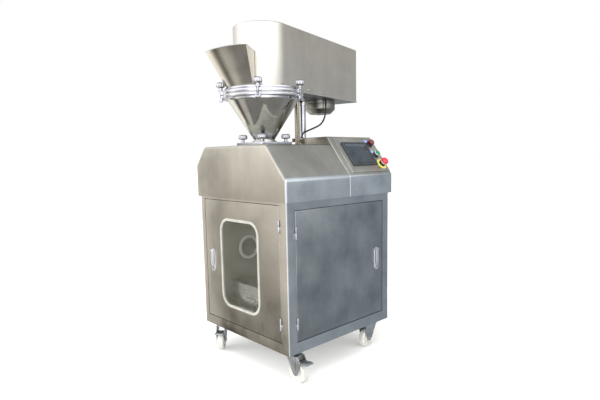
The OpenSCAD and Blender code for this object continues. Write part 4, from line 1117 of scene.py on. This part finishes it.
def glands():
    """Cable glands: a body, a hexagon nut, and a tapered sleeve round the lead."""
    lead = CABLE_D * 500
    bore = lead + 0.1
    dome = lathe([(bore, 11), (6.4, 11, 1.2), (7, 5), (bore, 5)], 32, closed=True)
    taper = lathe([(lead + 0.05, 10), (5.6, 10, 0.5), (lead + 0.5, 34, 0.4), (lead + 0.05, 34)], 24,
                  closed=True)
    nut = prism([(x, y) for x, y, z in hexagon(8, 0)], 0.5, 4.5, edge=0.4)
    top = move(*LEAD_TOP, ARM_Z0) @ turn(180, "X")
    bay = move(0, LEAD_BAY_Y, BAY_TOP)
    ring = lathe([(bore, 0), (10, 0), (10, 3, 0.8), (7.5, 6, 1.2), (bore, 6)], 32, closed=True)
    supply = lathe([(6.5, -10), (15, -10, 1), (15, 0), (9.5, 0), (9.5, SHEET), (15, SHEET), (15, 9, 1),
                    (12.5, 11, 0.8), (12.5, 21, 3), (9, 24, 1.5), (6.5, 24)], 48, closed=True)
    piece("gland_set", "base", "black_plastic", (sleeve(bore, 8, 0, 5, 0, 0.5), BLACK, top),
          (nut, BLACK, top), (dome, BLACK, top), (taper, CABLE, top), (ring, BLACK, bay),
          (rod(5.5, -4, 0.2, 0.6, 0, 24), BLACK, bay), (supply, BLACK, move(230, HALF_D, 230) @ ALONG_Y),
          replaces=["cable_glands"])


arm()
motor()
column()
glands()


# ---- castors ----
def castor_fork():
    """Pressed fork with its swivel race, axle bolt and nut; it trails along +X."""
    top = CAB_LOW - 13.4
    leg = WHEEL_W / 2 + 3
    out = leg + 4
    cheek = fillet([(-20, top, 2), (62, top, 6), (80, 100, 8), (TRAIL + 15, WHEEL_R - 4, 12),
                    (TRAIL + 2, WHEEL_R - 15, 12), (TRAIL - 15, WHEEL_R - 4, 12), (-8, top - 16, 14)],
                   steps=4)
    swage = fillet([(10, top - 6, 3), (48, top - 6, 3), (TRAIL + 6, WHEEL_R + 20, 5),
                    (TRAIL - 6, WHEEL_R + 18, 5)], steps=3)
    parts = [(prism(cheek, 0, 4, edge=0.9, steps=2), ZINC, move(0, y, 0) @ TO_FRONT) for y in (-leg, out)]
    for y, sunk in ((-out - 0.9, 0), (out + 0.9, -0.1)):
        parts.append((prism(swage, sunk, 0.9, edge=0.4, steps=2), ZINC, move(0, y, 0) @ TO_FRONT))
    crown = fillet([(-6, -out, 3), (58, -out, 3), (58, out, 3), (-6, out, 3)])
    race = lathe([(KING_HOLE, top - 8), (14, top - 8), (30, top - 7, 1.5), (31, top - 3, 2), (29, top),
                  (KING_HOLE, top)], 56, closed=True)
    parts += [(prism(crown, top - 4, top, [circle(KING_HOLE, 32)], 0.9), ZINC), (race, ZINC),
              (rod(6, -out, out), POLISHED, AXLE)]
    for side in (0, 180):
        end = AXLE @ turn(side, "Y")
        parts += [(hex_nut(9, 3, 0.6), POLISHED, end @ move(0, 0, out)),
                  (rod(10, 0, 0.8, 0, 0.3), POLISHED, end @ move(0, 0, out - 0.4))]
    return parts


def castor_wheel():
    """Moulded wheel with a round tread, a dished web with ribs and a hub."""
    h, tread = WHEEL_W / 2, 8
    profile = [(AXLE_HOLE, -h), (17, -h, 1.5), (19, -h + 5, 1), (34, -h + 6, 2), (37, -h + 1, 1.5),
               (WHEEL_R, -h + 1, tread), (WHEEL_R, h - 1, tread), (37, h - 1, 1.5), (34, h - 6, 2),
               (19, h - 5, 1), (17, h, 1.5), (AXLE_HOLE, h)]
    parts = [(lathe(profile, 72, closed=True, steps=6), NYLON, AXLE)]
    for i in range(8):
        for z0, z1 in ((-h + 3.2, -h + 7), (h - 7, h - 3.2)):
            parts.append((block((17, -1.3, z0), (36, 1.3, z1), 0.8), NYLON, AXLE @ turn(45 * i, "Z")))
    parts.append((sleeve(AXLE_HOLE, 9.5, -h - 0.6, h + 0.6, 0.5, 0.5), GREY_PAINT, AXLE))
    return parts


def brake_pedal():
    """Pressed brake lever with a ribbed toe plate and its pivot."""
    w = WHEEL_W / 2 + 2.6
    plate = fillet([(60, 104, 1), (98, 104), (122, 104, 2), (122, 112, 3), (98, 112, 4), (94, 108, 3),
                    (60, 108, 1)], steps=3)
    parts = [(prism(plate, 0, 2 * w, edge=0.7), PEDAL, move(0, w, 0) @ TO_FRONT)]
    for x in range(101, 121, 5):
        parts.append((block((x, -w + 3, 111.4), (x + 2, w - 3, 112.0), 0.3, 1), BLACK))
    pivot = move(70, 0, 104) @ TO_FRONT
    return parts + [(rod(5, -w, w, 0.5, 0.5, 28), PEDAL, pivot),
                    (rod(3, -w - 6, w + 6, 0.5, 0.5, 24), ZINC, pivot)]


def castor_mount():
    """Top plate with its fixed race, king pin and four nuts."""
    z = CAB_LOW
    race = lathe([(0, z - 13), (28, z - 13, 1), (30, z - 9, 2), (28, z - 5), (0, z - 5)], 56)
    king = lathe([(0, z - 32), (7, z - 32, 0.5), (8, z - 31), (8, z - 12), (0, z - 12)], 32)
    parts = [(prism(box_outline(-45, -45, 45, 45, 8, 4), z - 6, z, edge=0.9), ZINC, HERE), (race, ZINC, HERE),
             (king, ZINC, HERE), (hex_nut(13, 7.4, 0.62), ZINC, move(0, 0, z - 31))]
    for x in (-34, 34):
        for y in (-34, 34):
            parts.append((hex_nut(7, 4), ZINC, move(x, y, z - 6) @ turn(180, "X")))
    return parts


def castors():
    mounts = []
    for name, x, y, angle in CASTORS:
        here = move(x, y, 0) @ turn(angle, "Z")
        piece("castor_fork_" + name, "castor_" + name, "zinc", *castor_fork(), replaces=["fork_" + name],
              place=here)
        piece("castor_wheel_" + name, "wheel_" + name, "nylon", *castor_wheel(), replaces=["wheel_" + name],
              place=here)
        if name.startswith("front"):
            piece("brake_pedal_" + name, "pedal_" + name, "dark_steel", *brake_pedal(),
                  replaces=["pedal_" + name], place=here)
        mounts += placed(castor_mount(), here)
    piece("castor_mounts", "base", "zinc", *mounts, replaces=["castor_plates"])


castors()


# ---- inside ----
PORT = (-243, -130, 533)
LINER_BACK = -62


def port():
    """White ring and its plug in the compartment's left wall."""
    ring = lathe([(50, -1.5), (66, -1.5), (66, 5, 2), (62, 8, 2), (54, 8, 2), (50, 4, 1.5)], 72, closed=True)
    plug = lathe([(0, 0), (50.5, 0), (50.5, 1.5), (44, 1.5, 1), (42, 3, 1), (0, 3)], 72)
    piece("port_ring", "base", "white_rubber", (ring, WHITE), (plug, DARK_STEEL_AND_SHADE),
          place=move(*PORT) @ turn(90, "Y"))


def control_gear():
    """Drives, contactors and terminals on the plate behind the rear wall."""
    boxes = []
    for x in (-250, -110):
        boxes += [(x, 0, 520, x + 110, 131, 740, 4, 3, BLACK),
                  (x + 14, -1.2, 640, x + 96, 1, 722, 2, 2, KEYPAD),
                  (x + 28, -1.8, 690, x + 82, 0, 714, 1, 1, SCREEN)]
        boxes += [(x + a, -0.8, 528, x + a + 4, 1, 600, 0.4, 1, KEYPAD) for a in range(12, 100, 11)]
    contactors = range(50, 270, 44)
    for x in contactors:
        boxes += [(x, 50, 560, x + 38, 131, 650, 2, 2, KEYPAD),
                  (x + 9, 44, 580, x + 29, 52, 630, 2, 2, BLACK)]
    for i in range(50):
        x = -249 + 10 * i
        boxes.append((x, 92, 301, x + 9, 131, 344, 0.9, 1, WHITE if i % 7 else KEYPAD))
    boxes.append((-250, 70, 400, -60, 131, 470, 2, 2, BLACK))
    boxes += [(x, 67, 412, x + 22, 72, 458, 1, 1, KEYPAD) for x in range(-242, -60, 26)]
    parts = [(block(box[:3], box[3:6], box[6], box[7]), box[8]) for box in boxes]
    parts += [(dome_screw(2.6, 1.4), POLISHED, move(x + a, 50, z) @ TO_FRONT)
              for x in contactors for a in (8, 19, 30) for z in (566, 644)]
    holes = [circle(5, 24, x, z) for x in (-268, 268) for z in (242, 758)]
    board = prism(box_outline(-280, 230, 280, 770, 4), 0, 3, holes, edge=0.5)
    parts.append((board, ZINC, move(0, 133, 0) @ TO_FRONT))
    piece("control_gear_faces", "base", "paint_grey", *parts, replaces=["control_gear"],
          place=move(0, HALF_D - 160, 0))


port()
control_gear()
screws("liner_screws", [move(x, LINER_BACK, z) @ TO_FRONT
                        for x in (-214, -72, 72, 214) for z in (230, 500, 790)], 4, 2.2)


# ---- CAD nodes that keep their shape ----
KEPT = {
    "cover_panels": SATIN, "compartment_liner": LINER, "roll_housing": None, "bearings": None,
    "press_roll_left": None, "press_roll_right": None, "gearmotors": None, "granulator_rotor": None,
    "granulator_screen": None, "discharge_spout": None, "collecting_bin": None, "feed_screw": None,
    "motor_pulley": None, "drive_belt": None}
SLOT_LOOKS = {"side_sheet": SIDE, "dark_steel": DARK_STEEL_AND_SHADE, "satin": SATIN, "polished": POLISHED,
              "paint_grey": GREY_PAINT, "belt_rubber": BELT}


def soften(node, width):
    """Rounds a CAD node's sharp edges a little, as a real part's are."""
    add = node.modifiers.new
    configure(add("weld", "WELD"), merge_threshold=1e-6)
    configure(add("flat", "DECIMATE"), decimate_type="DISSOLVE", angle_limit=math.radians(0.5))
    configure(add("edge", "BEVEL"), width=width, segments=2, limit_method="ANGLE",
              angle_limit=math.radians(35), harden_normals=False)


def finish_kept_nodes():
    """Gives each kept node its own look, or else the look of its slot in the record."""
    for part in frame["record"]["subparts"]:
        if part["node"] in KEPT:
            node = frame["nodes"][part["node"]]
            for slot in node.material_slots:
                slot.link = "OBJECT"
                slot.material = KEPT[part["node"]] or SLOT_LOOKS[part["material_slot"]]
            soften(node, 0.0006)


finish_kept_nodes()


# ---- stage, light and surroundings ----
def make_floor():
    """A plain pale floor. The metal mirrors the surroundings below the horizon instead of it."""
    mesh = bpy.data.meshes.new("floor")
    half = 40
    corners = [(-half, -half, 0), (half, -half, 0), (half, half, 0), (-half, half, 0)]
    mesh.from_pydata(corners, [], [(0, 1, 2, 3)])
    floor = add_object("floor", mesh)
    f = Finish("pale_floor", Roughness=0.8, Emission_Color=(1, 1, 1, 1), Emission_Strength=0.1)
    f.colour(f.noise(3, 3), (0.3, "F6F6F5"), (0.7, "FBFBFA"))
    mesh.materials.append(f.material)
    floor.visible_glossy = False


def area_light(name, place, target, size, watts, colour=(1, 1, 1)):
    lamp = add_object(name, bpy.data.lights.new(name, "AREA"))
    configure(lamp.data, shape="RECTANGLE", size=size[0], size_y=size[1], energy=watts, color=colour)
    aim = (Vector(target) - Vector(place)).to_track_quat("-Z", "Y").to_euler()
    configure(lamp, location=place, rotation_euler=aim, visible_glossy=False)


BRIGHTEST = 2.8
WARM, PLAIN, COOL = (1.03, 1.0, 0.94), (1.0, 1.0, 1.0), (0.94, 1.0, 1.05)
# Surroundings that the metal mirrors, round the horizon: 0 is behind the machine, 0.25 to the
# camera's left, 0.5 behind the camera and 0.75 to its right. Each row is (place, brightness, tint).
UNDERFOOT = ((0.0, 0.8, WARM), (0.16, 1.2, WARM), (0.275, 1.1, WARM), (0.305, 0.4, PLAIN),
             (0.9, 0.4, PLAIN), (1.0, 0.8, WARM))
GROUND = ((0.0, 0.5, PLAIN), (0.06, 0.9, WARM), (0.11, 1.7, WARM), (0.15, 2.0, WARM), (0.19, 0.18, WARM),
          (0.215, 0.2, WARM), (0.24, 0.8, WARM), (0.3, 0.4, PLAIN), (0.4, 0.5, PLAIN), (0.44, 2.0, PLAIN),
          (0.56, 2.0, PLAIN), (0.6, 0.5, PLAIN), (0.75, 0.58, COOL), (1.0, 0.5, PLAIN))
HORIZON = ((0.0, 0.6, PLAIN), (0.06, 0.9, WARM), (0.11, 1.7, WARM), (0.15, 2.0, WARM), (0.19, 0.3, WARM),
           (0.245, 1.5, WARM), (0.36, 0.85, PLAIN), (0.42, 2.4, PLAIN), (0.58, 2.4, PLAIN),
           (0.68, 0.7, PLAIN), (0.75, 0.56, COOL), (1.0, 0.6, PLAIN))
WINDOWS = ((0.0, 0.7, PLAIN), (0.1, 1.0, PLAIN), (0.18, 1.6, PLAIN), (0.25, 2.6, PLAIN), (0.67, 2.7, PLAIN),
           (0.78, 0.7, PLAIN), (0.86, 0.5, WARM), (1.0, 0.9, PLAIN))
CEILING = ((0.0, 1.4, WARM), (0.17, 1.5, WARM), (0.26, 0.5, PLAIN), (0.9, 0.5, PLAIN), (1.0, 1.4, WARM))


def make_world():
    """White to the eye; dim ground, warm and slate walls and bright windows for the metal to mirror."""
    world = bpy.data.worlds.new("studio")
    world.use_nodes = True
    bpy.context.scene.world = world
    world.node_tree.nodes.clear()
    g = Graph(world.node_tree)
    ray = g.add("TexCoord", {}).outputs["Generated"]
    turned = g.add("VectorRotate", {"Vector": ray, "Angle": math.radians(-47)}, rotation_type="Z_AXIS")
    x, y, z = g.add("SeparateXYZ", {"Vector": turned.outputs[0]}).outputs
    back = g.add("Math", {0: y, 1: -1.0}, operation="MULTIPLY").outputs[0]
    angle = g.add("Math", {0: x, 1: back}, operation="ARCTAN2").outputs[0]
    bearing = g.span(angle, -math.pi, math.pi)

    def layer(low, high, under, row):
        """The row above a height, blended into what is under it."""
        stops = [(place, [bright * t / BRIGHTEST for t in tint] + [1]) for place, bright, tint in row]
        above = g.ramp(bearing, stops)
        if under is None:
            return above
        mix = {0: g.span(z, low, high), 6: under, 7: above}
        return g.add("Mix", mix, data_type="RGBA").outputs[2]

    whole = None
    for low, high, row in ((-1, -1, UNDERFOOT), (-0.7, -0.5, GROUND), (-0.36, -0.03, HORIZON),
                           (0.08, 0.26, WINDOWS), (0.5, 0.9, CEILING)):
        whole = layer(low, high, whole, row)
    lit = g.add("Background", {"Color": whole, "Strength": BRIGHTEST})
    seen = g.add("Background", {"Color": (1, 1, 1, 1)})
    path = g.add("LightPath", {}).outputs["Is Camera Ray"]
    either = g.add("MixShader", {0: path, 1: lit.outputs[0], 2: seen.outputs[0]})
    g.add("OutputWorld", {"Surface": either.outputs[0]})


make_floor()
make_world()
area_light("overhead", (0.6, -0.9, 3.4), (0, 0, 0.8), (3.0, 2.6), 75)
area_light("front_left", (-2.2, -3.0, 1.9), (0, 0, 0.8), (2.0, 2.4), 30, (1.0, 0.98, 0.95))
bpy.context.scene.view_settings.view_transform = "Standard"
